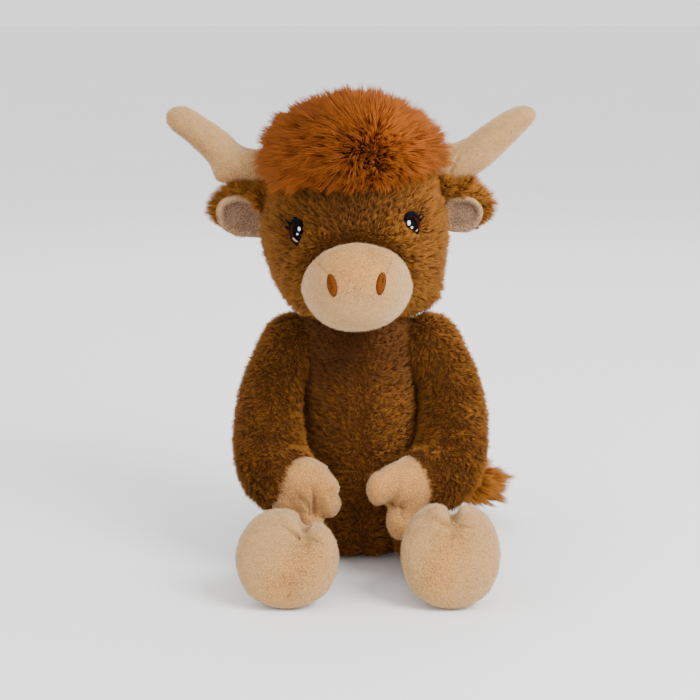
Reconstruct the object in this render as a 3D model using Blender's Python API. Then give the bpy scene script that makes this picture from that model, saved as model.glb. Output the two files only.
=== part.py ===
"""Seated plush cow, modelled as its sewn covers, fillings and seams.

Metres, +Z up. The toy faces -Y and its own left side is +X. The origin is the middle of
the flat seat. Each cover is a shell with the opening through which it is stuffed, each
filling lies inside its cover, and every limb ends in a ball that turns in a socket.
"""
import math

import bmesh
import bpy
from mathutils import Vector

# Cloth and clearances
WALL = 0.0018
SEAM_GAP = 0.0004
FILL_GAP = 0.0005
JOINT_GAP = 0.0007
PATCH_GAP = 0.0006

# Fineness of the solids
BODY_SEGMENTS = 20
LIMB_SEGMENTS = 16
SMALL_SEGMENTS = 12
SOCKET_SEGMENTS = 24
SOCKET_RINGS = 16

# Torso, a pear that stands on its flat seat
TORSO_HALF_WIDTH = 0.057
TORSO_HALF_DEPTH = 0.050
SEAT_HALF_WIDTH = 0.038
SEAT_HALF_DEPTH = 0.039
NECK_RIM_RADIUS = 0.036
NECK_HOLE_RADIUS = 0.016
PELLET_BAG_RADIUS = 0.036
PELLET_BAG_HEIGHT = 0.024
PELLET_BAG_SQUARENESS = 4
PELLET_BAG_LEVEL_SHARES = (-0.96, -0.6, 0, 0.6, 0.96)
NECK_THREAD_RADIUS = 0.0008
NECK_THREAD_LIFT_SHARE = 1.2
NECK_THREAD_SPREAD_SHARE = 1.8

# Head, a ball below its middle and an egg above it
HEAD_RADIUS = 0.064
HEAD_CROWN_HEIGHT = 0.087
HEAD_BOTTOM_HEIGHT = 0.171
HEAD_CENTRE_HEIGHT = HEAD_BOTTOM_HEIGHT + HEAD_RADIUS
HEAD_SIDE_SHIFT = -0.005
HEAD_HOLE_RADIUS = 0.014
HEAD_TOP_ANGLE = math.radians(80)
FACE_ROLL = math.radians(3.5)
CROWN_ROLL = math.radians(0.8)

# Muzzle, a dome on the front of the head
MUZZLE_HALF_WIDTH = 0.0380
MUZZLE_HALF_HEIGHT = 0.0305
MUZZLE_STANDOUT = 0.034
MUZZLE_CHIN_RISE = 0.010
MUZZLE_DROP = HEAD_RADIUS - MUZZLE_HALF_HEIGHT - MUZZLE_CHIN_RISE
MUZZLE_SAG = 0.0100
MUZZLE_WALL = 0.0015
MUZZLE_RIM_SHARE = 0.91
MUZZLE_SQUARENESS = 0.88
MUZZLE_FULLNESS = 2.8
MUZZLE_ROUNDNESS = 2.2

# Embroidery
EYE_HALF_WIDTH = 0.0062
EYE_HALF_HEIGHT = 0.0100
EYE_BEARING = math.radians(39.25)
EYE_RISE = 0.0135
STITCH_THICKNESS = 0.0009
NOSTRIL_HALF_WIDTH = 0.0030
NOSTRIL_HALF_HEIGHT = 0.0078
NOSTRIL_SPACING = 0.0335
NOSTRIL_RISE = 0.0030
NOSTRIL_LEAN = math.radians(13)

# Horns
HORN_ROOT_ELEVATION = math.radians(37.5)
HORN_REACH = 0.0800
HORN_RISE = 0.0375
HORN_GIRTH = 0.0142
VELOUR_WALL = 0.0014

# Ears
EAR_LENGTH = {"left": 0.0325, "right": 0.0370}
EAR_HALF_HEIGHT = 0.0172
EAR_THICKNESS = 0.0090
EAR_ROOT_RADIUS = 0.0048
EAR_ROOT_RISE = 0.0180
EAR_LINING_THICKNESS = 0.0014
EAR_LINING_TRIM = 0.0021
EAR_CAP_SHARES = (0.5, 0.9)
EAR_CAP_POWER = 0.25

# Forelock
FORELOCK_THICKNESS = 0.0180
FORELOCK_SIDE_THICKNESS = {"left": 0.0260, "right": 0.0340}
FORELOCK_EDGE = 0.0110
FORELOCK_GAP = 0.0012
FORELOCK_FRONT_SPREAD = math.radians(62)
FORELOCK_BACK_SPREAD = math.radians(48)
FORELOCK_SIDE_SPREAD = math.radians(55)

# Arms, measured from the shoulder
SHOULDER_HEIGHT = 0.152
SHOULDER_SPREAD = 0.050
SHOULDER_RADIUS = 0.0205
ARM_DROP = 0.0780
ARM_REACH = 0.0760
ARM_BOW = 0.0195
ARM_TUCK = {"left": 0.0085, "right": 0.0010}
ARM_GIRTH = 0.0215
HOOF_HALF_WIDTH = 0.0225
HOOF_HALF_THICKNESS = 0.0125
HOOF_REACH = 0.0180
HOOF_CLEFT_DEPTH = 0.0110
HOOF_CLEFT_WIDTH = 0.0060
HOOF_INWARD = {"left": 0.0305, "right": 0.0300}
HOOF_DROP = {"left": 0.0165, "right": 0.0135}

# Legs, measured from the hip
HIP_HEIGHT = 0.0200
HIP_SPREAD = 0.0430
HIP_FORWARD = 0.0470
HIP_RADIUS = 0.0175
LEG_GIRTH = 0.0190
ANKLE_REACH = 0.0650
ANKLE_SPLAY = {"left": 0.0172, "right": 0.0080}
ANKLE_RISE = 0.0060
FOOT_REACH = 0.0320
FOOT_HALF_WIDTH = {"left": 0.0328, "right": 0.0340}
FOOT_HALF_HEIGHT = {"left": 0.0360, "right": 0.0330}
SOLE_TILT = math.radians(13)
SOLE_THICKNESS = 0.0016
SOLE_BULGE = 0.0050
FOOT_CLEFT_DEPTH = 0.0085
FOOT_CLEFT_SPREAD = math.radians(17)
FOOT_CLEFT_TURN = {"left": 0, "right": math.radians(20)}

# Tail, measured from its root
TAIL_ROOT_HEIGHT = 0.0420
TAIL_ROOT_SIDE = 0.0060
TAIL_ROOT_BACK = 0.0550
TAIL_ROOT_RADIUS = 0.0062
TAIL_SIDEWAYS = 0.0740
TAIL_BACKWARD = 0.0110
TAIL_DROOP = 0.0140
TUFT_LENGTH = 0.0330
TUFT_GIRTH = 0.0140

UP = Vector((0, 0, 1))
FORWARD = Vector((0, -1, 0))
OUTWARD = Vector((1, 0, 0))
SIDES = {"left": 1, "right": -1}

BROWN = (0.200, 0.075, 0.018)
HEAD_BROWN = (0.255, 0.105, 0.028)
RUST = (0.330, 0.085, 0.012)
VELOUR = (0.700, 0.470, 0.300)
STITCH_BLACK = (0.012, 0.010, 0.014)
STITCH_RUST = (0.300, 0.090, 0.015)
FIBRE = (0.860, 0.860, 0.840)
POUCH = (0.620, 0.600, 0.560)


def clear_scene():
    """Remove every object that the scene holds."""
    for item in list(bpy.data.objects):
        bpy.data.objects.remove(item, do_unlink=True)


def finish_for(name, colour, roughness):
    """Return the material of one piece."""
    material = bpy.data.materials.new(name + "_finish")
    material.use_nodes = True
    shader = material.node_tree.nodes["Principled BSDF"]
    shader.inputs["Base Color"].default_value = (*colour, 1)
    shader.inputs["Roughness"].default_value = roughness
    shader.inputs["Metallic"].default_value = 0
    return material


def pivot(name, location, parent=None, rotation=None):
    """Add an empty that carries pieces, on a joint's centre where the pieces move."""
    empty = bpy.data.objects.new(name, None)
    bpy.context.scene.collection.objects.link(empty)
    empty.parent = parent
    empty.location = location
    if rotation is not None:
        empty.rotation_euler = rotation
    return empty


def link_mesh(name, mesh, parent, colour, roughness):
    """Add a finished mesh as a named piece under its carrier."""
    piece = bpy.data.objects.new(name, mesh)
    bpy.context.scene.collection.objects.link(piece)
    piece.parent = parent
    mesh.shade_smooth()
    mesh.set_sharp_from_angle(angle=math.radians(60))
    mesh.materials.append(finish_for(name, colour, roughness))
    return piece


def skin_mesh(name, rings, first_pole=None, last_pole=None):
    """Return the mesh of a row of rings, ended by poles or joined end to end."""
    bm = bmesh.new()
    rows = [[bm.verts.new(point) for point in ring] for ring in rings]
    count = len(rows[0])
    pairs = list(zip(rows, rows[1:]))
    if first_pole is None:
        pairs.append((rows[-1], rows[0]))
    for low, high in pairs:
        for index in range(count):
            after = (index + 1) % count
            a, b, c, d = low[index], low[after], high[after], high[index]
            halves = ((a, b, d), (b, c, d))
            if (a.co - c.co).length < (b.co - d.co).length:
                halves = ((a, b, c), (a, c, d))
            for half in halves:
                bm.faces.new(half)
    if first_pole is not None:
        for row, pole in ((rows[0], first_pole), (rows[-1], last_pole)):
            tip = bm.verts.new(pole)
            for index in range(count):
                bm.faces.new((row[index], row[(index + 1) % count], tip))
    bmesh.ops.recalc_face_normals(bm, faces=bm.faces[:])
    mesh = bpy.data.meshes.new(name)
    bm.to_mesh(mesh)
    bm.free()
    return mesh


def loft(name, rings, parent, colour, first_pole=None, last_pole=None, roughness=0.9):
    """Add a piece whose skin runs through a row of rings."""
    mesh = skin_mesh(name, rings, first_pole, last_pole)
    return link_mesh(name, mesh, parent, colour, roughness)


def smooth_rows(rows, count):
    """Return count rows on the smooth cubic that hand-set rows of numbers steer."""
    before_first = [2 * a - b for a, b in zip(rows[0], rows[1])]
    after_last = [2 * a - b for a, b in zip(rows[-1], rows[-2])]
    steer = [before_first, *rows, after_last]
    spans = len(rows) - 1
    result = []
    for step in range(count):
        place = spans * step / (count - 1)
        span = min(int(place), spans - 1)
        t = place - span
        weights = (
            (1 - t) ** 3 / 6,
            (3 * t ** 3 - 6 * t ** 2 + 4) / 6,
            (1 + 3 * t + 3 * t ** 2 - 3 * t ** 3) / 6,
            t ** 3 / 6,
        )
        near = zip(*steer[span:span + 4])
        result.append([sum(w * v for w, v in zip(weights, values)) for values in near])
    return result


def turned_frames(centres, facing, end_way=None):
    """Return a side and a lift vector for each centre, untwisted along the row."""
    frames = []
    lift = facing
    for index in reversed(range(len(centres))):
        ahead = centres[min(index + 1, len(centres) - 1)]
        behind = centres[max(index - 1, 0)]
        tangent = (ahead - behind).normalized()
        if end_way is not None and index == len(centres) - 1:
            tangent = end_way
        lift = (lift - tangent * lift.dot(tangent)).normalized()
        frames.append((tangent.cross(lift), lift))
    return frames[::-1]


def oval(centre, side, lift, half_width, half_depth, segments):
    """Return the points of one oval ring."""
    ring = []
    for index in range(segments):
        angle = math.tau * index / segments
        ring.append(centre + side * half_width * math.cos(angle) + lift * half_depth * math.sin(angle))
    return ring


def inset(station, amount):
    """Return a swept station drawn in by a wall."""
    centre, half_width, half_depth = station
    return centre, half_width - amount, half_depth - amount


def ball_end(radius, direction, steps_share):
    """Return the stations of the ball that ends a limb, from its far pole to its middle."""
    stations = []
    for share in steps_share:
        angle = share * math.pi / 2
        half = radius * math.sin(angle)
        stations.append((-direction * radius * math.cos(angle), half, half))
    return stations


def sweep(stations, facing, segments, end_way=None):
    """Return a ring for each station along its row of centres."""
    frames = turned_frames([station[0] for station in stations], facing, end_way)
    rings = []
    for (centre, half_width, half_depth), (side, lift) in zip(stations, frames):
        rings.append(oval(centre, side, lift, half_width, half_depth, segments))
    return rings


def on_floor(rings, floor):
    """Return rings whose points rest on the floor where they would pass below it."""
    return [[Vector((p.x, p.y, max(p.z, floor))) for p in ring] for ring in rings]


def socket_cutter(name, centre, radius, parent):
    """Add the ball that cuts a socket, which is a guide and no piece."""
    bm = bmesh.new()
    bmesh.ops.create_uvsphere(bm, u_segments=SOCKET_SEGMENTS, v_segments=SOCKET_RINGS, radius=radius)
    mesh = bpy.data.meshes.new(name)
    bm.to_mesh(mesh)
    bm.free()
    return hide_guide(name, mesh, centre, parent)


def hide_guide(name, mesh, centre, parent):
    """Link a cutter as a hidden wire guide."""
    cutter = bpy.data.objects.new(name, mesh)
    bpy.context.scene.collection.objects.link(cutter)
    cutter.parent = parent
    cutter.location = centre
    cutter.display_type = "WIRE"
    cutter.hide_render = True
    return cutter


def cut(piece, cutters):
    """Cut each guide out of a piece."""
    for cutter in cutters:
        modifier = piece.modifiers.new("cut_" + cutter.name, "BOOLEAN")
        modifier.operation = "DIFFERENCE"
        modifier.object = cutter


# Height, width, depth and sideways lean of the torso, bottom to neck
TORSO_PROFILE_SHARES = (
    (0.012, 0.80, 0.80, 0.0),
    (0.050, 0.915, 0.90, 0.0),
    (0.140, 0.985, 0.98, 0.0),
    (0.270, 1.00, 1.00, 0.0),
    (0.410, 0.935, 0.97, 0.0),
    (0.550, 0.785, 0.89, 0.0),
    (0.690, 0.660, 0.81, 0.00),
    (0.820, 0.640, 0.75, 0.12),
    (0.920, 0.645, 0.735, 0.65),
)


def head_centre():
    """Return the middle of the head, about which its lower half is a ball."""
    return Vector((HEAD_SIDE_SHIFT, 0, HEAD_CENTRE_HEIGHT))


def dish_height(radius, offset):
    """Return the height at which the neck's dish lies, offset from the head's ball."""
    return HEAD_CENTRE_HEIGHT - math.sqrt((HEAD_RADIUS + offset) ** 2 - radius ** 2)


def neck_rim_height():
    """Return the height of the torso's upper rim."""
    return dish_height(NECK_RIM_RADIUS, JOINT_GAP)


def torso_ring(height, half_width, half_depth, lean):
    """Return one level ring of the torso."""
    centre = Vector((HEAD_SIDE_SHIFT * lean, 0, height))
    return oval(centre, OUTWARD, -FORWARD, half_width, half_depth, BODY_SEGMENTS)


def torso_wall(amount, rows, floor):
    """Return the rings of the torso's side, drawn in by an amount, bottom to neck."""
    rings = []
    for height, width, depth, lean in smooth_rows(TORSO_PROFILE_SHARES, rows):
        level = max(height * neck_rim_height(), floor)
        half_width = width * TORSO_HALF_WIDTH - amount
        half_depth = depth * TORSO_HALF_DEPTH - amount
        rings.append(torso_ring(level, half_width, half_depth, lean))
    return rings


def dish_rings(offset, outer, inner, rows):
    """Return the rings of the dish in which the head rests, rim to hole."""
    rings = []
    for step in range(rows):
        radius = outer + (inner - outer) * step / (rows - 1)
        rings.append(torso_ring(dish_height(radius, offset), radius, radius, 1))
    return rings


def build_torso(sockets):
    """Model the torso's cover, its filling and the pellet bag in the seat."""
    seat = torso_ring(0, SEAT_HALF_WIDTH, SEAT_HALF_DEPTH, 0)
    side = torso_wall(0, 12, 0)
    dish = dish_rings(JOINT_GAP, NECK_RIM_RADIUS, NECK_HOLE_RADIUS, 5)
    lining = dish_rings(JOINT_GAP + WALL, NECK_HOLE_RADIUS, NECK_RIM_RADIUS - WALL * 2, 3)
    inside = torso_wall(WALL, 9, WALL)[::-1]
    floor = torso_ring(WALL, SEAT_HALF_WIDTH - WALL, SEAT_HALF_DEPTH - WALL, 0)
    rings = [seat] + side + dish + lining + inside + [floor]
    cover = loft("torso_cover", rings, None, BROWN, Vector(), UP * WALL)
    cut(cover, sockets)

    pad = WALL + FILL_GAP
    bag_top = pad + PELLET_BAG_HEIGHT
    fill_base = bag_top + FILL_GAP
    fill_rings = [ring for ring in torso_wall(pad, 9, 0) if ring[0].z > fill_base + WALL]
    draw_in = 1 - WALL / TORSO_HALF_WIDTH
    base = [Vector((p.x * draw_in, p.y * draw_in, fill_base)) for p in fill_rings[0]]
    top = dish_rings(JOINT_GAP + pad, NECK_RIM_RADIUS - WALL * 4, NECK_HOLE_RADIUS, 3)
    crown = Vector((HEAD_SIDE_SHIFT, 0, dish_height(0, JOINT_GAP + pad)))
    filling = loft("torso_filling", [base] + fill_rings + top, None, FIBRE, UP * fill_base, crown)
    cut(filling, sockets)

    bag_middle = pad + PELLET_BAG_HEIGHT / 2
    bag = []
    for share in PELLET_BAG_LEVEL_SHARES:
        spread = (1 - abs(share) ** PELLET_BAG_SQUARENESS) ** (1 / PELLET_BAG_SQUARENESS)
        spread *= PELLET_BAG_RADIUS
        level = bag_middle + share * PELLET_BAG_HEIGHT / 2
        depth = spread * SEAT_HALF_DEPTH / SEAT_HALF_WIDTH
        bag.append(torso_ring(level, spread, depth, 0))
    loft("pellet_bag", bag, None, POUCH, UP * pad, UP * bag_top)


def build_neck_thread(carrier):
    """Model the ring of thread that closes the neck seam."""
    reach = HEAD_RADIUS + JOINT_GAP / 2 + NECK_THREAD_RADIUS * NECK_THREAD_LIFT_SHARE
    ring_radius = NECK_RIM_RADIUS + NECK_THREAD_RADIUS * NECK_THREAD_SPREAD_SHARE
    drop = math.sqrt(reach ** 2 - ring_radius ** 2)
    rings = []
    for index in range(BODY_SEGMENTS):
        angle = math.tau * index / BODY_SEGMENTS
        out = Vector((math.cos(angle), math.sin(angle), 0))
        centre = out * ring_radius - UP * drop
        rings.append(oval(centre, out, UP, NECK_THREAD_RADIUS, NECK_THREAD_RADIUS, 6))
    loft("neck_seam_thread", rings, carrier, HEAD_BROWN)


def head_ring(angle, offset):
    """Return one level ring of the head, offset from its skin, at an angle of elevation."""
    half = (HEAD_RADIUS + offset) * math.cos(angle)
    tall = HEAD_CROWN_HEIGHT if angle > 0 else HEAD_RADIUS
    centre = UP * (tall + offset) * math.sin(angle)
    return oval(centre, OUTWARD, -FORWARD, half, half, BODY_SEGMENTS)


def head_front(x, z, offset):
    """Return the point of the head's front skin, or offset from it, at x and z."""
    tall = (HEAD_CROWN_HEIGHT if z > 0 else HEAD_RADIUS) + offset
    wide = HEAD_RADIUS + offset
    depth = wide * math.sqrt(1 - (x / wide) ** 2 - (z / tall) ** 2)
    return Vector((x, -depth, z))


def build_head(carrier):
    """Model the head's cover and its filling."""
    hole = -math.acos(HEAD_HOLE_RADIUS / HEAD_RADIUS)
    sweep_up = HEAD_TOP_ANGLE - hole
    outside = [head_ring(hole + sweep_up * step / 12, 0) for step in range(13)]
    inside = [head_ring(hole + sweep_up * step / 9, -WALL) for step in range(10)]
    outer_pole = UP * HEAD_CROWN_HEIGHT
    inner_pole = UP * (HEAD_CROWN_HEIGHT - WALL)
    loft("head_cover", inside[::-1] + outside, carrier, HEAD_BROWN, inner_pole, outer_pole)
    pad = WALL + FILL_GAP
    filling = [head_ring(hole + sweep_up * step / 9, -pad) for step in range(10)]
    low_pole = -UP * (HEAD_RADIUS - pad) * math.cos(HEAD_HOLE_RADIUS / HEAD_RADIUS)
    high_pole = UP * (HEAD_CROWN_HEIGHT - pad)
    loft("head_filling", filling, carrier, FIBRE, low_pole, high_pole)


def muzzle_point(angle, spread, amount):
    """Return a point of the muzzle's dome, drawn in by an amount.

    The spread is 1 on the sewn rim, which follows the head, and 0 on the tip.
    """
    wide = MUZZLE_HALF_WIDTH - amount
    tall = MUZZLE_HALF_HEIGHT - amount
    round_x = math.copysign(abs(math.cos(angle)) ** MUZZLE_SQUARENESS, math.cos(angle))
    round_z = math.copysign(abs(math.sin(angle)) ** MUZZLE_SQUARENESS, math.sin(angle))
    rim_x = wide * round_x * MUZZLE_RIM_SHARE
    rim_z = tall * round_z * MUZZLE_RIM_SHARE - MUZZLE_DROP
    rim = head_front(rim_x, rim_z, JOINT_GAP)
    if spread == 1:
        return rim
    reach = HEAD_RADIUS + MUZZLE_STANDOUT - amount + rim.y
    bulge = muzzle_bulge(spread)
    z = tall * round_z * spread - MUZZLE_DROP - MUZZLE_SAG * bulge
    return Vector((wide * round_x * spread, rim.y - reach * bulge, z))


def muzzle_bulge(spread):
    """Return how far forward the dome has come, as a share, at a spread."""
    return (1 - spread ** MUZZLE_FULLNESS) ** (1 / MUZZLE_ROUNDNESS)


def muzzle_ring(spread, amount):
    """Return one ring of the muzzle's dome."""
    return [muzzle_point(math.tau * i / BODY_SEGMENTS, spread, amount) for i in range(BODY_SEGMENTS)]


def muzzle_back_ring(spread, amount):
    """Return one ring of the filling's back, which follows the head."""
    ring = []
    for point in muzzle_ring(1, amount):
        z = (point.z + MUZZLE_DROP) * spread - MUZZLE_DROP
        ring.append(head_front(point.x * spread, z, JOINT_GAP * 1.5))
    return ring


MUZZLE_SPREAD_SHARES = (1, 0.97, 0.9, 0.76, 0.56, 0.3)
MUZZLE_BACK_SHARES = (0.35, 0.7, 0.97)


def build_muzzle(carrier):
    """Model the muzzle's velour cover and the pad of filling under it."""
    outside = [muzzle_ring(share, 0) for share in MUZZLE_SPREAD_SHARES]
    inside = [muzzle_ring(share, MUZZLE_WALL) for share in MUZZLE_SPREAD_SHARES]
    outer_pole = muzzle_point(0, 0, 0)
    inner_pole = muzzle_point(0, 0, MUZZLE_WALL)
    loft("muzzle_cover", inside[::-1] + outside, carrier, VELOUR, inner_pole, outer_pole)
    pad = MUZZLE_WALL + FILL_GAP
    front = [muzzle_ring(share, pad) for share in MUZZLE_SPREAD_SHARES[1:]]
    back = [muzzle_back_ring(share, pad) for share in MUZZLE_BACK_SHARES]
    back_pole = head_front(0, -MUZZLE_DROP, JOINT_GAP * 1.5)
    loft("muzzle_filling", back + front, carrier, FIBRE, back_pole, muzzle_point(0, 0, pad))


def stitched_patch(name, carrier, colour, skin, middle, half_width, half_height, lean):
    """Model an embroidered oval that lies on a skin given as a function of x and z."""
    layers = []
    for height, spreads in ((0, (0.5, 1)), (STITCH_THICKNESS, (1, 0.5))):
        for spread in spreads:
            ring = []
            for index in range(SMALL_SEGMENTS):
                angle = math.tau * index / SMALL_SEGMENTS
                across = half_width * spread * math.cos(angle)
                along = half_height * spread * math.sin(angle)
                x = middle[0] + across * math.cos(lean) - along * math.sin(lean)
                z = middle[1] + across * math.sin(lean) + along * math.cos(lean)
                ring.append(skin(x, z, PATCH_GAP + height))
            layers.append(ring)
    under = skin(middle[0], middle[1], PATCH_GAP)
    over = skin(middle[0], middle[1], PATCH_GAP + STITCH_THICKNESS)
    loft(name, layers, carrier, colour, under, over)


def muzzle_front(x, z, offset):
    """Return the point of the muzzle's skin, or offset from it, at x and z."""
    power = 2 / MUZZLE_SQUARENESS
    spread = 0
    for _ in range(6):
        rise = z + MUZZLE_DROP + MUZZLE_SAG * muzzle_bulge(spread)
        share_x = abs(x / MUZZLE_HALF_WIDTH)
        share_z = abs(rise / MUZZLE_HALF_HEIGHT)
        spread = (share_x ** power + share_z ** power) ** (1 / power)
    across = math.copysign((share_x / spread) ** (1 / MUZZLE_SQUARENESS), x)
    upright = math.copysign((share_z / spread) ** (1 / MUZZLE_SQUARENESS), rise)
    return muzzle_point(math.atan2(upright, across), spread, 0) + FORWARD * offset


def build_face(carrier):
    """Model the eyes and the nostrils."""
    for side, sign in SIDES.items():
        eye = (sign * HEAD_RADIUS * math.sin(EYE_BEARING), EYE_RISE)
        stitched_patch("eye_" + side, carrier, STITCH_BLACK, head_front, eye,
                       EYE_HALF_WIDTH, EYE_HALF_HEIGHT, 0)
        nostril = (sign * NOSTRIL_SPACING / 2, NOSTRIL_RISE - MUZZLE_DROP)
        stitched_patch("nostril_" + side, carrier, STITCH_RUST, muzzle_front, nostril,
                       NOSTRIL_HALF_WIDTH, NOSTRIL_HALF_HEIGHT, sign * -NOSTRIL_LEAN)


# Reach, rise and girth of a horn from its root
HORN_PATH_SHARES = (
    (0.00, 0.00, 0.86),
    (0.26, -0.06, 0.92),
    (0.42, 0.04, 0.98),
    (0.58, 0.33, 0.92),
    (0.77, 0.66, 0.82),
    (0.93, 0.94, 0.64),
)
HORN_TIP_SHARES = ((0.975, 0.985, 0.46), (1.00, 1.01, 0.24))


def horn_root(sign):
    """Return the middle of a horn's root, on the head's skin."""
    reach = HEAD_RADIUS * math.cos(HORN_ROOT_ELEVATION)
    return Vector((sign * reach, 0, HEAD_CROWN_HEIGHT * math.sin(HORN_ROOT_ELEVATION)))


def horn_stations(sign, rows):
    """Return the stations of a horn, root to tip."""
    stations = []
    for reach, rise, girth in smooth_rows(HORN_PATH_SHARES, rows) + [list(r) for r in HORN_TIP_SHARES]:
        centre = Vector((sign * reach * HORN_REACH, 0, rise * HORN_RISE))
        stations.append((centre, girth * HORN_GIRTH, girth * HORN_GIRTH))
    return stations


def root_on_head(ring, offset, carrier_spot):
    """Return a horn's first ring drawn onto the head's skin along X."""
    result = []
    for point in ring:
        spot = carrier_spot + point
        wide = HEAD_RADIUS + offset
        tall = HEAD_CROWN_HEIGHT + offset
        reach = wide * math.sqrt(1 - (spot.y / wide) ** 2 - (spot.z / tall) ** 2)
        x = math.copysign(reach, spot.x)
        result.append(Vector((x, spot.y, spot.z)) - carrier_spot)
    return result


def build_horn(side, carrier):
    """Model one horn's velour cover and filling, and return the guide that clears it."""
    sign = SIDES[side]
    root = horn_root(sign)
    seat = pivot("horn_%s_root" % side, root, carrier)
    outside = sweep(horn_stations(sign, 9), FORWARD, SMALL_SEGMENTS)
    outside[0] = root_on_head(outside[0], SEAM_GAP, root)
    inner = [inset(station, VELOUR_WALL) for station in horn_stations(sign, 7)[:-1]]
    inside = sweep(inner, FORWARD, SMALL_SEGMENTS)
    inside[0] = root_on_head(inside[0], SEAM_GAP, root)
    tip = horn_stations(sign, 7)[-1][0] + (OUTWARD * sign + UP) * VELOUR_WALL / 2
    inner_tip = inner[-1][0] + (OUTWARD * sign + UP) * FILL_GAP
    loft("horn_%s_cover" % side, inside[::-1] + outside, seat, VELOUR, inner_tip, tip)

    pad = VELOUR_WALL + FILL_GAP
    core = [inset(station, pad) for station in horn_stations(sign, 7)[:-1]]
    filling = sweep(core, FORWARD, SMALL_SEGMENTS)
    filling[0] = root_on_head(filling[0], JOINT_GAP * 2, root)
    base = Vector((sign * JOINT_GAP * 2, 0, 0))
    loft("horn_%s_filling" % side, filling, seat, FIBRE, base, core[-1][0])

    fat = [inset(station, -JOINT_GAP * 2) for station in horn_stations(sign, 9)]
    fat[0] = (fat[0][0] - OUTWARD * sign * HORN_GIRTH, fat[0][1], fat[0][2])
    rings = sweep(fat, FORWARD, SMALL_SEGMENTS)
    guide = "horn_%s_clearance" % side
    mesh = skin_mesh(guide, rings, fat[0][0], fat[-1][0])
    # A little forward, so that no edge of the guide lies on an edge of the forelock
    return hide_guide(guide, mesh, root + FORWARD * PATCH_GAP, carrier)


def forelock_thickness(bearing, share):
    """Return how high the pile stands at a bearing and a share of the panel's spread."""
    side = "left" if math.cos(bearing) > 0 else "right"
    swell = (share * math.cos(bearing)) ** 2
    full = FORELOCK_THICKNESS + (FORELOCK_SIDE_THICKNESS[side] - FORELOCK_THICKNESS) * swell
    fall = share ** FORELOCK_FALL_POWER
    return full * (1 - fall) + FORELOCK_EDGE * fall


def forelock_ring(reach_share, standing):
    """Return one ring of the forelock at a share of its spread, under its pile or over it."""
    ring = []
    for index in range(BODY_SEGMENTS):
        bearing = math.tau * index / BODY_SEGMENTS
        thickness = forelock_thickness(bearing, reach_share) if standing else FORELOCK_GAP
        forward = -math.sin(bearing)
        ends = FORELOCK_FRONT_SPREAD if forward > 0 else FORELOCK_BACK_SPREAD
        spread = math.hypot(FORELOCK_SIDE_SPREAD * math.cos(bearing), ends * forward) * reach_share
        out = math.sin(spread)
        wide = HEAD_RADIUS + thickness
        tall = HEAD_CROWN_HEIGHT + thickness
        x = wide * out * math.cos(bearing)
        y = wide * out * math.sin(bearing)
        ring.append(Vector((x, y, tall * math.cos(spread))))
    return ring


FORELOCK_SPREAD_SHARES = (0.25, 0.5, 0.72, 0.88, 1)
FORELOCK_FALL_POWER = 6


def build_forelock(carrier, clearances):
    """Model the long-piled panel as the space that its standing pile takes."""
    outside = [forelock_ring(share, True) for share in FORELOCK_SPREAD_SHARES]
    inside = [forelock_ring(share, False) for share in FORELOCK_SPREAD_SHARES]
    under = UP * (HEAD_CROWN_HEIGHT + FORELOCK_GAP)
    over = UP * (HEAD_CROWN_HEIGHT + FORELOCK_THICKNESS)
    panel = loft("forelock", inside + outside[::-1], carrier, RUST, under, over, roughness=1)
    cut(panel, clearances)


# Length, upper edge, lower edge and thickness of an ear from its root
EAR_OUTLINE_SHARES = (
    (0.00, 0.62, -0.62, 1.00),
    (0.18, 0.80, -0.82, 0.92),
    (0.42, 0.98, -1.00, 0.88),
    (0.66, 0.94, -0.98, 0.80),
    (0.85, 0.66, -0.74, 0.62),
    (0.96, 0.28, -0.40, 0.42),
)


def ear_ring(row, full_length, trim):
    """Return one ring across an ear, nearly flat in front and bowed to the back."""
    length, upper, lower, bow = row
    middle = EAR_HALF_HEIGHT * (upper + lower) / 2
    half = EAR_HALF_HEIGHT * (upper - lower) / 2 - trim
    ring = []
    for index in range(SMALL_SEGMENTS):
        angle = math.tau * index / SMALL_SEGMENTS
        deep = EAR_THICKNESS / 2 if math.sin(angle) > 0 else EAR_LINING_THICKNESS
        y = math.sin(angle) * deep * bow
        ring.append(Vector((length * full_length, y, middle + math.cos(angle) * half)))
    return ring


def mirrored(rings, sign):
    """Return rings mirrored across the toy's middle where the side asks for it."""
    return [[Vector((sign * p.x, p.y, p.z)) for p in ring] for ring in rings]


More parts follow.
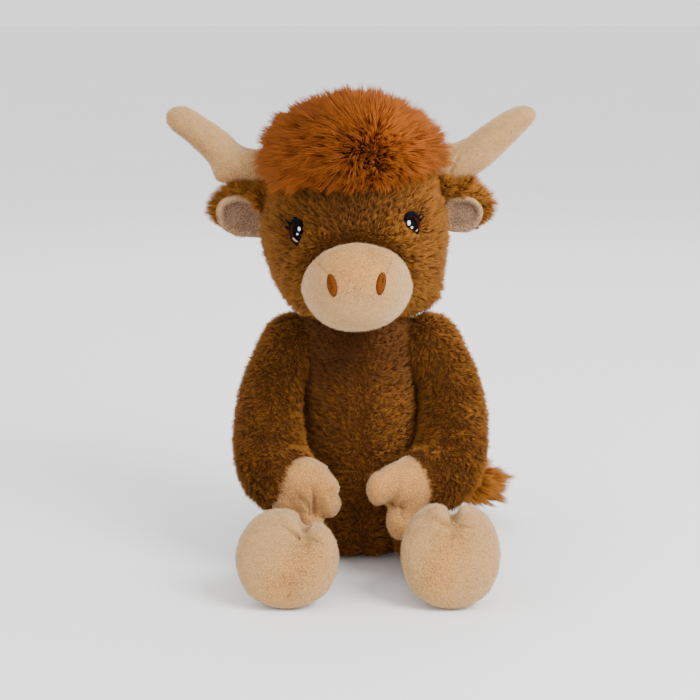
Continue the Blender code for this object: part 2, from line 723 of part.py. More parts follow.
def build_ear(side, carrier):
    """Model one ear's plush back and its velour lining on a pivot along the sewn root."""
    sign = SIDES[side]
    skin = HEAD_RADIUS * math.sqrt(1 - (EAR_ROOT_RISE / HEAD_CROWN_HEIGHT) ** 2)
    lean = math.atan(HEAD_RADIUS * EAR_ROOT_RISE / (HEAD_CROWN_HEIGHT * skin))
    lean *= HEAD_RADIUS / HEAD_CROWN_HEIGHT
    off = skin + EAR_ROOT_RADIUS + SEAM_GAP
    root = Vector((sign * off, 0, EAR_ROOT_RISE))
    seat = pivot("ear_%s_hinge" % side, root, carrier, (0, -sign * lean, 0))
    rows = smooth_rows(EAR_OUTLINE_SHARES, 8)
    back = [ear_ring(row, EAR_LENGTH[side], 0) for row in rows]
    root_cap = []
    for share in EAR_CAP_SHARES:
        angle = share * math.pi / 2
        x = -EAR_ROOT_RADIUS * math.cos(angle)
        tall = math.sin(angle) ** EAR_CAP_POWER
        root_cap.append([Vector((x, p.y * math.sin(angle), p.z * tall)) for p in back[0]])
    rings = mirrored(root_cap + back, sign)
    tip = Vector((sign * EAR_LENGTH[side], 0, rings[-1][0].z / 2 + rings[-1][6].z / 2))
    root_pole = Vector((-sign * EAR_ROOT_RADIUS, 0, 0))
    loft("ear_%s_outer" % side, rings, seat, BROWN, root_pole, tip)

    lining = []
    for row in rows[1:-1]:
        ring = ear_ring(row, EAR_LENGTH[side], EAR_LINING_TRIM)
        for index, point in enumerate(ring):
            level = -EAR_LINING_THICKNESS * row[3] - PATCH_GAP
            swell = EAR_LINING_THICKNESS * (1 - math.sin(math.tau * index / SMALL_SEGMENTS)) / 2
            point.y = level - swell
        lining.append(ring)
    lining = mirrored(lining, sign)
    first = sum(lining[0], Vector()) / SMALL_SEGMENTS
    last = sum(lining[-1], Vector()) / SMALL_SEGMENTS
    loft("ear_%s_lining" % side, lining, seat, VELOUR, first, last)


# Bow outward, reach forward, drop and girth of an arm from the shoulder to the wrist
ARM_PATH_SHARES = (
    (0.00, 0.00, 0.00, 0.91),
    (0.82, 0.12, 0.31, 0.82),
    (1.00, 0.33, 0.65, 0.95),
    (0.86, 0.58, 1.00, 1.03),
    (0.54, 0.80, 1.10, 0.98),
    (0.06, 0.98, 1.07, 0.86),
)
ARM_TUCK_POWER = 3
# Way along the hoof and down it, with half width and half thickness
HOOF_SECTION_SHARES = (
    (0.35, 0.18, 0.98, 1.12),
    (0.68, 0.50, 1.02, 1.00),
    (0.90, 0.85, 0.90, 0.80),
    (1.00, 1.00, 0.62, 0.48),
)
BALL_STEP_SHARES = (0.34, 0.70)
HOOF_CLEFT_POWER = 3


def limb_stations(side, rows):
    """Return the stations of an arm and its hoof, shoulder to toes, and the wrist's number."""
    sign = SIDES[side]
    bones = []
    for bow, reach, drop, girth in ARM_PATH_SHARES:
        out = bow * ARM_BOW - ARM_TUCK[side] * reach ** ARM_TUCK_POWER
        spot = (sign * out, -reach * ARM_REACH, -drop * ARM_DROP)
        bones.append((*spot, girth * ARM_GIRTH, girth * ARM_GIRTH))
    wrist = bones[-1]
    way = (-sign * HOOF_INWARD[side], -HOOF_REACH, -HOOF_DROP[side])
    for along, down, width, thickness in HOOF_SECTION_SHARES:
        spot = (wrist[0] + way[0] * along, wrist[1] + way[1] * along, wrist[2] + way[2] * down)
        bones.append((*spot, width * HOOF_HALF_WIDTH, thickness * HOOF_HALF_THICKNESS))
    stations = []
    for x, y, z, half_width, half_depth in smooth_rows(bones, rows):
        stations.append((Vector((x, y, z)), half_width, half_depth))
    stations[0] = (stations[0][0], SHOULDER_RADIUS, SHOULDER_RADIUS)
    ball = ball_end(SHOULDER_RADIUS, (stations[1][0] - stations[0][0]).normalized(), BALL_STEP_SHARES)
    return ball + stations, Vector(wrist[:3]), Vector(way)


def cleave(rings, start, way, side_axis, depth):
    """Draw the middle of the toe end back, so that it parts into two toes."""
    length = way.length
    heading = way.normalized()
    result = []
    for ring in rings:
        moved = []
        for point in ring:
            along = (point - start).dot(heading) / length
            across = (point - start).dot(side_axis)
            share = max(along, 0) ** HOOF_CLEFT_POWER * math.exp(-(across / HOOF_CLEFT_WIDTH) ** 2)
            pull = depth * share
            moved.append(point - heading * pull)
        result.append(moved)
    return result


def build_arm(side, shoulder):
    """Model one arm's cover, its hoof cover and the filling that they share."""
    arm_spans = len(ARM_PATH_SHARES) - 1
    spans = arm_spans + len(HOOF_SECTION_SHARES)
    stations, wrist, way = limb_stations(side, spans * 2 + 1)
    count = len(BALL_STEP_SHARES) + arm_spans * 2 + 1
    heading = way.normalized()
    across = heading.cross(FORWARD).normalized()
    first = -(stations[1][0] - stations[0][0]).normalized()

    def layer(amount):
        """Return the limb's rings, cloven, drawn in by an amount."""
        rings = sweep([inset(station, amount) for station in stations], FORWARD, LIMB_SEGMENTS)
        return cleave(rings, wrist, way, across, HOOF_CLEFT_DEPTH)

    skin = layer(0)
    lining = layer(WALL)
    loft("arm_%s_cover" % side, skin[:count] + lining[:count][::-1], shoulder, BROWN,
         first * SHOULDER_RADIUS, first * (SHOULDER_RADIUS - WALL))

    wrist_way = (stations[count][0] - stations[count - 2][0]).normalized()
    mouth = [point + wrist_way * SEAM_GAP for point in skin[count - 1]]
    hollow = layer(VELOUR_WALL)[count - 1:-1]
    hollow[0] = [point + wrist_way * SEAM_GAP for point in hollow[0]]
    toes = stations[-1][0]
    toe_pole = toes - heading * (HOOF_CLEFT_DEPTH - VELOUR_WALL)
    hollow_pole = toes - heading * (HOOF_CLEFT_DEPTH + VELOUR_WALL)
    loft("hoof_%s_cover" % side, hollow[::-1] + [mouth] + skin[count:], shoulder, VELOUR,
         hollow_pole, toe_pole)

    pad = WALL + FILL_GAP
    core_pole = toes - heading * (HOOF_CLEFT_DEPTH + VELOUR_WALL + FILL_GAP * 2)
    loft("arm_%s_filling" % side, layer(pad)[:-2], shoulder, FIBRE,
         first * (SHOULDER_RADIUS - pad), core_pole)


# Splay, reach, rise and girth of a leg from the hip to the ankle
LEG_PATH_SHARES = (
    (0.00, 0.00, 0.00, 0.88),
    (0.15, 0.33, -0.05, 0.90),
    (0.55, 0.68, 0.20, 0.93),
    (1.00, 1.00, 1.00, 0.98),
)
# Way along the foot, with the share of the change from ankle to sole size
FOOT_SECTION_SHARES = ((0.02, 0.00), (0.22, 0.50), (0.48, 0.88), (0.76, 1.02), (1.00, 0.96))
FOOT_CLEFT_POWER = 3
# Width of a sole's ring and how far it has swelled
SOLE_DOME_SHARES = ((1.00, 0.00), (0.82, 0.60), (0.50, 1.00))
SOLE_POLE_SHARE = 1.08


def leg_stations(side, rows):
    """Return the stations of a leg, hip to ankle, after its ball end."""
    sign = SIDES[side]
    stations = []
    for splay, reach, rise, girth in smooth_rows(LEG_PATH_SHARES, rows):
        centre = Vector((sign * splay * ANKLE_SPLAY[side], -reach * ANKLE_REACH, rise * ANKLE_RISE))
        stations.append((centre, girth * LEG_GIRTH, girth * LEG_GIRTH))
    ball = ball_end(HIP_RADIUS, FORWARD, BALL_STEP_SHARES)
    stations[0] = (stations[0][0], HIP_RADIUS, HIP_RADIUS)
    return ball + stations


def foot_ring(side, centre, half_width, half_height, amount, cleft, tilt):
    """Return one ring of a foot, notched at the top by the cleft and tilted back there."""
    ring = []
    for index in range(LIMB_SEGMENTS):
        angle = math.tau * index / LIMB_SEGMENTS
        off_top = math.remainder(angle - math.pi / 2 - FOOT_CLEFT_TURN[side], math.tau)
        notch = cleft * math.exp(-(off_top / FOOT_CLEFT_SPREAD) ** 2)
        x = (amount - half_width) * math.cos(angle)
        z = (half_height - amount) * math.sin(angle) - notch
        ring.append(centre + Vector((x, z * math.tan(tilt), z)))
    return ring


def foot_rings(side, amount):
    """Return the rings of a foot, ankle to sole, drawn in by an amount."""
    sign = SIDES[side]
    ankle = leg_stations(side, 6)[-1]
    low = FOOT_HALF_HEIGHT[side] - HIP_HEIGHT
    heel = ankle[0]
    toe = Vector((sign * ANKLE_SPLAY[side], heel.y - FOOT_REACH, low))
    rings = []
    for along, growth in FOOT_SECTION_SHARES:
        centre = heel.lerp(toe, along)
        centre.z = heel.z + (low - heel.z) * min(growth, 1)
        half_width = ankle[1] + (FOOT_HALF_WIDTH[side] - ankle[1]) * growth
        half_height = ankle[2] + (FOOT_HALF_HEIGHT[side] - ankle[2]) * growth
        cleft = (FOOT_CLEFT_DEPTH + amount) * growth ** FOOT_CLEFT_POWER
        tilt = SOLE_TILT * min(growth, 1)
        rings.append(foot_ring(side, centre, half_width, half_height, amount, cleft, tilt))
    return rings


def build_leg(side, hip):
    """Model one leg's cover, its foot cover, the sole and the filling inside."""
    floor = -HIP_HEIGHT
    leg = leg_stations(side, 6)
    outside = on_floor(sweep(leg, UP, LIMB_SEGMENTS, FORWARD), floor)
    inner = sweep([inset(station, WALL) for station in leg], UP, LIMB_SEGMENTS, FORWARD)
    inside = on_floor(inner, floor + WALL)
    outer_pole = -FORWARD * HIP_RADIUS
    inner_pole = -FORWARD * (HIP_RADIUS - WALL)
    loft("leg_%s_cover" % side, outside + inside[::-1], hip, BROWN, outer_pole, inner_pole)

    skin = on_floor(foot_rings(side, 0), floor)
    hollow = on_floor(foot_rings(side, VELOUR_WALL), floor + VELOUR_WALL)
    loft("foot_%s_cover" % side, skin + hollow[::-1], hip, VELOUR)

    rim = skin[-1]
    middle = sum(rim, Vector()) / LIMB_SEGMENTS
    under = middle + FORWARD * SEAM_GAP
    sole = [[point + FORWARD * SEAM_GAP for point in rim]]
    for spread, swell in SOLE_DOME_SHARES:
        raised = FORWARD * (SEAM_GAP + SOLE_THICKNESS + SOLE_BULGE * swell)
        sole.append([middle.lerp(point, spread) + raised for point in rim])
    over = middle + FORWARD * (SEAM_GAP + SOLE_THICKNESS + SOLE_BULGE * SOLE_POLE_SHARE)
    loft("sole_" + side, sole, hip, VELOUR, under, over)

    pad = WALL + FILL_GAP
    core = sweep([inset(station, pad) for station in leg], UP, LIMB_SEGMENTS, FORWARD)
    core = on_floor(core, floor + pad)
    foot_core = on_floor(foot_rings(side, pad), floor + pad)
    foot_core[-1] = [point - FORWARD * FILL_GAP for point in foot_core[-1]]
    core_pole = -FORWARD * (HIP_RADIUS - pad)
    loft("leg_%s_filling" % side, core + foot_core, hip, FIBRE, core_pole, middle - FORWARD * FILL_GAP)


# Sideways run, backward run, droop and girth of the tail's stem from its root
TAIL_PATH_SHARES = (
    (0.00, 0.00, 0.00, 1.00),
    (0.30, 0.75, 0.25, 1.02),
    (0.66, 1.00, 0.80, 0.98),
    (1.00, 0.30, 1.00, 0.92),
)
# Way along the tuft, rise and girth
TUFT_SECTION_SHARES = (
    (0.00, 0.00, 0.42),
    (0.22, 0.02, 0.86),
    (0.50, 0.06, 1.00),
    (0.76, 0.16, 0.82),
    (0.95, 0.28, 0.42),
)


def build_tail(root):
    """Model the tail's plush stem and the tuft of long pile at its end."""
    stations = []
    for run, back, droop, girth in smooth_rows(TAIL_PATH_SHARES, 8):
        centre = Vector((run * TAIL_SIDEWAYS, back * TAIL_BACKWARD, -droop * TAIL_DROOP))
        stations.append((centre, girth * TAIL_ROOT_RADIUS, girth * TAIL_ROOT_RADIUS))
    direction = (stations[1][0] - stations[0][0]).normalized()
    ball = ball_end(TAIL_ROOT_RADIUS, direction, BALL_STEP_SHARES)
    rings = sweep(ball + stations, UP, SMALL_SEGMENTS)
    end = stations[-1][0]
    loft("tail_stem", rings, root, BROWN, -direction * TAIL_ROOT_RADIUS, end)

    heading = (end - stations[-2][0]).normalized()
    tuft = []
    for along, rise, girth in TUFT_SECTION_SHARES:
        centre = end + heading * (SEAM_GAP + along * TUFT_LENGTH) + UP * rise * TUFT_LENGTH
        tuft.append((centre, girth * TUFT_GIRTH, girth * TUFT_GIRTH))
    tuft_rings = sweep(tuft, UP, SMALL_SEGMENTS)
    tuft_rings[0] = [point + heading * SEAM_GAP for point in rings[-1]]
    tip = tuft[-1][0] + heading * TUFT_LENGTH / SMALL_SEGMENTS
    loft("tail_tuft", tuft_rings, root, RUST, tuft[0][0], tip, roughness=1)


def build():
    """Model the whole toy."""
    clear_scene()
    shoulders = {}
    hips = {}
    sockets = []
    for side, sign in SIDES.items():
        shoulder = Vector((sign * SHOULDER_SPREAD, 0, SHOULDER_HEIGHT))
        shoulders[side] = pivot("shoulder_" + side, shoulder)
        sockets.append(socket_cutter("shoulder_%s_socket" % side, shoulder,
                                     SHOULDER_RADIUS + JOINT_GAP, None))
        hip = Vector((sign * HIP_SPREAD, -HIP_FORWARD, HIP_HEIGHT))
        hips[side] = pivot("hip_" + side, hip)
        sockets.append(socket_cutter("hip_%s_socket" % side, hip, HIP_RADIUS + JOINT_GAP, None))
    tail_root = Vector((TAIL_ROOT_SIDE, TAIL_ROOT_BACK, TAIL_ROOT_HEIGHT))
    sockets.append(socket_cutter("tail_socket", tail_root, TAIL_ROOT_RADIUS + JOINT_GAP, None))
    build_torso(sockets)

    neck = pivot("neck", head_centre())
    build_neck_thread(neck)
    head = pivot("head", Vector(), neck)
    build_head(head)
    face = pivot("face", Vector(), head, (0, -FACE_ROLL, 0))
    build_muzzle(face)
    build_face(face)
    crown = pivot("crown", Vector(), head, (0, -CROWN_ROLL, 0))
    clearances = []
    for side in SIDES:
        clearances.append(build_horn(side, crown))
        build_ear(side, crown)
    build_forelock(crown, clearances)

    for side in SIDES:
        build_arm(side, shoulders[side])
        build_leg(side, hips[side])
    build_tail(pivot("tail_root", tail_root))


build()
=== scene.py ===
"""Looks of a seated plush cow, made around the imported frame.

Every stuffed cover is a padded mesh that follows its CAD solid, the short and the long
pile are strands that stand on those covers, and the face is embroidered on them. Metres,
+Z up, and the toy faces -Y. Left and right are the toy's own: its left side is +X.
"""

import functools
import logging
import math
from contextlib import contextmanager
from dataclasses import dataclass
from enum import Enum
from typing import Callable, Iterable, Iterator, Optional, Sequence, Union

import bmesh
import bpy
import numpy as np
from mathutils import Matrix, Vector
from mathutils.bvhtree import BVHTree
from mathutils.kdtree import KDTree


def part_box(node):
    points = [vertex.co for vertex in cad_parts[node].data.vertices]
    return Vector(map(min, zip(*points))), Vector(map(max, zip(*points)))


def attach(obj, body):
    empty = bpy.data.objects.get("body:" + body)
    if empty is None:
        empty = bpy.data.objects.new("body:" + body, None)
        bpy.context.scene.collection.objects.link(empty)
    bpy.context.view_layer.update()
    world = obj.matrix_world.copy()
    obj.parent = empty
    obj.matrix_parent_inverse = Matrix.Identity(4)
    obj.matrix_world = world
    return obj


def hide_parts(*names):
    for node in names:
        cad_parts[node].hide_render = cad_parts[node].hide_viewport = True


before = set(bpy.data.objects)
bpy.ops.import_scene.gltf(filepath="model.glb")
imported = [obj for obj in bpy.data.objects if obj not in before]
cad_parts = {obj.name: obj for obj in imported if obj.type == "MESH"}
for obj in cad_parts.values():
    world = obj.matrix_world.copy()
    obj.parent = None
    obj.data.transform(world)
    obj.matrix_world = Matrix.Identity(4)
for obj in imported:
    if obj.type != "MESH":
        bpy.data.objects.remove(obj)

log = logging.getLogger("plush_cow")
MM = 0.001
Colour = tuple[float, float, float]
Points = np.ndarray
Pixel = tuple[float, float]
Span = tuple[float, float]
Field = Callable[[np.ndarray], np.ndarray]
Moves = tuple[tuple[Pixel, Pixel], ...]
Crease = tuple[tuple[Pixel, ...], float, float]  # its pixels, its half width and depth in mm
GROOVE_REACH = 2.2  # how far beside a groove the mesh is made finer, in half widths
CREASE_SHARE = 0.65  # how much of a groove's depth is its crease, the rest is a dip round it
DIP_WIDTH = 3.2  # how wide that dip is, in half widths
TAPER_POWER = 0.7  # how a tapering groove fades along its length
FULL_SHADE_DEPTH = 3.5 * MM  # how deep a groove is whose painted shade is full
STRAND_RADIUS = 0.42  # of a strand's width, at its root
STRAND_BELLY = 0.16  # of its width more, halfway up
STRAND_TIP = 0.72  # how much of that is left at its last ring


class Side(Enum):
    """The toy's own two sides, with the sign of X on each."""

    LEFT = "left"
    RIGHT = "right"

    @property
    def sign(self) -> int:
        """The sign of X on this side."""
        return 1 if self is Side.LEFT else -1


class Slot(Enum):
    """The material slots of the record."""

    BODY = "body_plush"
    HEAD = "head_plush"
    LONG = "long_pile"
    VELOUR = "velour"
    EYE = "eye_stitching"
    NOSTRIL = "nostril_stitching"


class Wire:
    """A shader socket on which Python's operators add Math nodes."""

    def __init__(self, graph: "Graph", socket: bpy.types.NodeSocket) -> None:
        """Wrap one output socket of a graph."""
        self.graph = graph
        self.socket = socket

    def _math(self, operation: str, *others: Union["Wire", float]) -> "Wire":
        """Return the wire of a Math node that takes this wire and others."""
        operands = dict(enumerate([self, *others]))
        return self.graph.node("ShaderNodeMath", {"operation": operation}, operands)

    def __add__(self, other: Union["Wire", float]) -> "Wire":
        """Return the sum."""
        return self._math("ADD", other)

    def __sub__(self, other: Union["Wire", float]) -> "Wire":
        """Return the difference."""
        return self._math("SUBTRACT", other)

    def __mul__(self, other: Union["Wire", float]) -> "Wire":
        """Return the product."""
        return self._math("MULTIPLY", other)

    __radd__ = __add__

    def clamp(self) -> "Wire":
        """Return this wire held between 0 and 1."""
        return self._math("MAXIMUM", 0.0)._math("MINIMUM", 1.0)

    def sine(self) -> "Wire":
        """Return the sine of this wire."""
        return self._math("SINE")


Value = Union[Wire, float, Sequence[float]]


class Graph:
    """The node tree of one finish."""

    def __init__(self, name: str) -> None:
        """Start a material with its Principled shader."""
        self.material = bpy.data.materials.new(name)
        self.material.use_nodes = True
        self.tree = self.material.node_tree
        self.shader = self.tree.nodes["Principled BSDF"]

    def node(self, kind: str, settings: Optional[dict] = None,
             sockets: Optional[dict] = None, output: Union[int, str] = 0) -> Wire:
        """Add a node.

        Args:
            kind: The node's type.
            settings: Its settings; "stops" are a ramp's places and colours.
            sockets: The values or wires of its inputs, by name or number.
            output: The output that the wire reads.

        Returns:
            The wire of that output.
        """
        made = self.tree.nodes.new(kind)
        for name, value in (settings or {}).items():
            if name == "stops":
                self._set_stops(made.color_ramp, value)
            else:
                setattr(made, name, value)
        for name, value in (sockets or {}).items():
            self._feed(made.inputs[name], value)
        return Wire(self, made.outputs[output])

    def _feed(self, socket: bpy.types.NodeSocket, value: Value) -> None:
        """Link a wire to a socket, or set the socket's value."""
        if isinstance(value, Wire):
            self.tree.links.new(value.socket, socket)
        elif isinstance(value, (int, float)):
            socket.default_value = value
        else:
            size = len(socket.default_value)
            socket.default_value = (*value, 1.0)[:size]

    @staticmethod
    def _set_stops(ramp: bpy.types.ColorRamp, stops: Sequence[tuple[float, Colour]]) -> None:
        """Give a colour ramp its stops."""
        while len(ramp.elements) < len(stops):
            ramp.elements.new(1.0)
        for element, (place, colour) in zip(ramp.elements, stops):
            element.position = place
            element.color = (*colour, 1.0)

    def point(self) -> Wire:
        """Return the surface point in metres."""
        return self.node("ShaderNodeTexCoord", output="Object")

    def noise(self, size: float, detail: float = 2.0) -> Wire:
        """Return noise, about 0.5 on average.

        Args:
            size: The size of its features, in metres.
            detail: How many finer layers it has.

        Returns:
            The noise.
        """
        return self.node("ShaderNodeTexNoise", None,
                         {"Vector": self.point(), "Scale": 1.0 / size, "Detail": detail})

    def attribute(self, name: str) -> Wire:
        """Return a mesh attribute as a number."""
        return self.node("ShaderNodeAttribute", {"attribute_name": name}, output="Fac")

    def ramp(self, value: Wire, stops: Sequence[tuple[float, Colour]]) -> Wire:
        """Return the colour of a ramp at a value."""
        return self.node("ShaderNodeValToRGB", {"stops": stops}, {0: value})

    def blend(self, share: Value, low: Value, high: Value, kind: str = "MIX") -> Wire:
        """Return one colour blended over another.

        Args:
            share: How much of the second colour shows.
            low: The first colour.
            high: The second colour.
            kind: The way of blending.

        Returns:
            The blended colour.
        """
        settings = {"data_type": "RGBA", "blend_type": kind, "clamp_factor": True}
        return self.node("ShaderNodeMix", settings, {0: share, 6: low, 7: high}, output=2)

    def scaled(self, colour: Value, factor: Wire) -> Wire:
        """Return a colour made lighter or darker by a factor."""
        grey = self.node("ShaderNodeCombineColor", None, {0: factor, 1: factor, 2: factor})
        return self.blend(1.0, colour, grey, "MULTIPLY")

    def finish(self, colour: Value, height: Optional[Wire] = None, depth: float = 0.0,
               **constants: Value) -> bpy.types.Material:
        """Feed the shader and return the material.

        Args:
            colour: The base colour.
            height: The relief from 0 to 1, if the surface has one.
            depth: How deep that relief is, in metres.
            constants: The shader's other inputs, with underscores for spaces.

        Returns:
            The finished material.
        """
        self._feed(self.shader.inputs["Base Color"], colour)
        if height is not None:
            relief = self.node("ShaderNodeBump", None,
                               {"Height": height, "Distance": depth, "Strength": 1.0})
            self._feed(self.shader.inputs["Normal"], relief)
        for name, value in constants.items():
            self._feed(self.shader.inputs[name.replace("_", " ")], value)
        return self.material


@dataclass(frozen=True)
class PileFinish:
    """The look of pile: painted shade at the roots between the strands, light at their tips."""

    name: str
    # The root colour, darker than the middle in most finishes, is painted shade between the strands.
    root: Colour
    middle: Colour
    tip: Colour
    ground: Colour
    blotch_size: float = 22 * MM
    blotch_share: float = 0.30
    middle_place: float = 0.45
    tone_rise: float = 0.5
    tone_light: float = 0.6
    knit_size: float = 1.2 * MM
    knit_depth: float = 0.3 * MM
    knit_light: float = 0.3
    ground_light: float = 0.75
    ground_blotch: float = 0.2

    @functools.cache
    def strand_material(self) -> bpy.types.Material:
        """Return the material of the strands."""
        graph = Graph(self.name + "_strands")
        # The tone attribute holds each strand's random tone and the painted shade and light of its
        # pile's field.
        tone = graph.attribute("tone") - 0.5
        place = (graph.attribute("rise") + tone * self.tone_rise).clamp()
        stops = [(0.0, self.root), (self.middle_place, self.middle), (1.0, self.tip)]
        blotch = (graph.noise(self.blotch_size, 3.0) - 0.5) * (2.0 * self.blotch_share)
        colour = graph.scaled(graph.ramp(place, stops), 1.0 + blotch + tone * self.tone_light)
        return graph.finish(colour, Roughness=0.82, Sheen_Weight=0.25, Sheen_Roughness=0.45,
                            Sheen_Tint=self.tip, Specular_IOR_Level=0.25)

    @functools.cache
    def ground_material(self) -> bpy.types.Material:
        """Return the material of the knitted ground under the strands."""
        graph = Graph(self.name + "_ground")
        knit = graph.noise(self.knit_size)
        blotch = graph.noise(self.blotch_size, 3.0)
        light = self.ground_light + knit * self.knit_light + blotch * self.ground_blotch
        return graph.finish(graph.scaled(self.ground, light), knit, self.knit_depth,
                            Roughness=0.95, Specular_IOR_Level=0.15)


@dataclass(frozen=True)
class VelourFinish:
    """Beige velour: a speckled nap, stroked light and dark between painted lit and shaded colours."""

    name: str
    # lit and shaded are lit and shaded copies of one colour, painted light and painted shade.
    lit: Colour
    shaded: Colour
    # pale is a greyer colour: the velour's own on paler parts, painted where the pale attribute paints
    # sheen or shade.
    pale: Colour
    speckle_size: float = 0.9 * MM
    nap_size: float = 0.495 * MM
    stroke_size: float = 20.0 * MM
    nap_share: float = 0.6
    relief: float = 0.45 * MM
    lit_share: float = 0.70
    stroke_share: float = 1.1
    speckle_share: float = 2.2
    fold_shade_share: float = 0.6
    pale_speckle_share: float = 1.6
    speckle_light: float = 0.84
    sheen_tint: Colour = (1.0, 0.80, 0.55)

    @functools.cache
    def material(self) -> bpy.types.Material:
        """Return the material."""
        graph = Graph(self.name)
        nap = graph.noise(self.speckle_size, 3.0)
        speckle = nap - 0.5
        stroke = graph.noise(self.stroke_size) - 0.5
        # The fold attribute darkens towards the shaded colour: painted shade in folds, grooves and
        # shaded places.
        share = (self.lit_share + stroke * self.stroke_share + speckle * self.speckle_share
                 - graph.attribute("fold") * self.fold_shade_share)
        # The pale attribute is partly the velour's own paler colour and partly painted sheen, light
        # and shade.
        pale_share = graph.attribute("pale") + speckle * self.pale_speckle_share
        colour = graph.blend(share.clamp(), self.shaded, self.lit)
        colour = graph.blend(pale_share.clamp(), colour, self.pale)
        height = graph.noise(self.nap_size) * self.nap_share + nap * (1 - self.nap_share)
        return graph.finish(graph.scaled(colour, 1.0 + speckle * self.speckle_light), height,
                            self.relief, Roughness=0.88, Sheen_Weight=0.55, Sheen_Roughness=0.5,
                            Sheen_Tint=self.sheen_tint, Specular_IOR_Level=0.15)


@dataclass(frozen=True)
class ThreadFinish:
    """Embroidery thread: satin, with a sheen that changes from stitch to stitch."""

    name: str
    colour: Colour
    fleck: Colour
    roughness: float = 0.5
    gloss: float = 0.22
    stitch: float = 0.35 * MM
    row_depth: float = 0.10 * MM
    fleck_size: float = 0.5 * MM
    thread_share: float = 0.35
    fleck_share: float = 0.3
    row_share: float = 0.35

    @functools.cache
    def material(self) -> bpy.types.Material:
        """Return the material, with satin stitches that lie across the patch."""
        graph = Graph(self.name)
        thread = graph.attribute("thread")
        fleck = graph.noise(self.fleck_size)
        height = graph.node("ShaderNodeSeparateXYZ", None, {0: graph.point()}, output="Z")
        rows = (height * (math.tau / self.stitch) + fleck * 2.0).sine() * 0.5 + 0.5
        share = thread * self.thread_share + fleck * self.fleck_share + rows * self.row_share
        colour = graph.blend(share.clamp(), self.colour, self.fleck)
        return graph.finish(colour, rows, self.row_depth, Roughness=self.roughness,
                            Specular_IOR_Level=self.gloss)


# Each pile finish: root, middle, tip and ground colours; the darker roots are painted shade.
BODY_PILE = PileFinish("body_plush", (0.062, 0.017, 0.0013), (0.152, 0.048, 0.0036),
                       (0.300, 0.114, 0.0130), (0.066, 0.020, 0.0020))
HEAD_PILE = PileFinish("head_plush", (0.076, 0.021, 0.0015), (0.184, 0.059, 0.0044),
                       (0.350, 0.137, 0.0180), (0.078, 0.024, 0.0020))
LONG_PILE = PileFinish("long_pile", (0.245, 0.054, 0.0024), (0.240, 0.053, 0.0022),
                       (0.310, 0.083, 0.0058), (0.200, 0.042, 0.0018), blotch_share=0.20)
TAIL_PILE = PileFinish("tail_long_pile", (0.200, 0.050, 0.0030), (0.270, 0.080, 0.0060),
                       (0.420, 0.160, 0.0200), (0.200, 0.050, 0.0030), blotch_share=0.20)
NAP = PileFinish("velour_nap", (0.340, 0.170, 0.050), (0.500, 0.300, 0.130),
                 (0.720, 0.520, 0.320), (0.400, 0.200, 0.060), blotch_share=0.10)
# Lit and shaded copies of each velour colour: painted light and painted shade.
VELOUR = VelourFinish("beige_velour", (0.480, 0.220, 0.054), (0.185, 0.090, 0.036),
                      (0.400, 0.235, 0.095))
LINING_VELOUR = VelourFinish("ear_velour", (0.245, 0.136, 0.074), (0.075, 0.041, 0.027),
                             (0.420, 0.260, 0.130))
BLACK_THREAD = ThreadFinish("black_thread", (0.0012, 0.0012, 0.0015), (0.0040, 0.0046, 0.0064),
                            0.7, 0.03)
LID_THREAD = ThreadFinish("lid_thread", (0.0014, 0.0026, 0.0046), (0.0036, 0.0064, 0.0110),
                          0.7, 0.05)
IRIS_THREAD = ThreadFinish("iris_thread", (0.0180, 0.0022, 0.0010), (0.0480, 0.0085, 0.0022),
                           0.7, 0.05)
WHITE_THREAD = ThreadFinish("white_thread", (0.780, 0.780, 0.800), (0.920, 0.920, 0.930))
CREAM_THREAD = ThreadFinish("cream_thread", (0.400, 0.280, 0.150), (0.580, 0.450, 0.290))
RUST_THREAD = ThreadFinish("rust_thread", (0.085, 0.016, 0.0005), (0.190, 0.046, 0.0012),
                           0.6, 0.08, 0.5 * MM)
SEAM_THREAD = ThreadFinish("seam_thread", (0.050, 0.016, 0.0016), (0.110, 0.038, 0.0045),
                           0.8, 0.1)
DARK_RUST_THREAD = ThreadFinish("dark_rust_thread", (0.040, 0.009, 0.0015),
                                (0.085, 0.020, 0.0025))


def deselect_all() -> None:
    """Leave edit mode and clear the selection."""
    if bpy.context.mode != "OBJECT":
        bpy.ops.object.mode_set(mode="OBJECT")
    bpy.ops.object.select_all(action="DESELECT")


def make_active(piece: bpy.types.Object) -> None:
    """Select one piece alone and make it the active one."""
    deselect_all()
    piece.select_set(True)
    bpy.context.view_layer.objects.active = piece


def apply_modifier(piece: bpy.types.Object, kind: str, **settings: object) -> None:
    """Add a modifier to a piece and apply it.

    Args:
        piece: The piece.
        kind: The modifier's type.
        settings: Its settings.
    """
    modifier = piece.modifiers.new(kind.lower(), kind)
    for name, value in settings.items():
        setattr(modifier, name, value)
    make_active(piece)
    bpy.ops.object.modifier_apply(modifier=modifier.name)


def remesh(piece: bpy.types.Object, voxel: float, relax: int = 0) -> None:
    """Rebuild a piece's mesh from voxels of a size, and smooth it a number of times."""
    apply_modifier(piece, "REMESH", mode="VOXEL", voxel_size=voxel)
    if relax:
        apply_modifier(piece, "SMOOTH", factor=0.5, iterations=relax)


def read_points(mesh: bpy.types.Mesh) -> Points:
    """Return a mesh's vertices as an array."""
    flat = np.empty(len(mesh.vertices) * 3, np.float32)
    mesh.vertices.foreach_get("co", flat)
    return flat.reshape(-1, 3).astype(float)


def read_normals(mesh: bpy.types.Mesh) -> Points:
    """Return a mesh's vertex normals as an array."""
    flat = np.empty(len(mesh.vertices) * 3, np.float32)
    mesh.vertex_normals.foreach_get("vector", flat)
    return flat.reshape(-1, 3).astype(float)


def write_points(mesh: bpy.types.Mesh, points: Points) -> None:
    """Move a mesh's vertices to new places."""
    mesh.vertices.foreach_set("co", points.astype(np.float32).ravel())
    mesh.update()


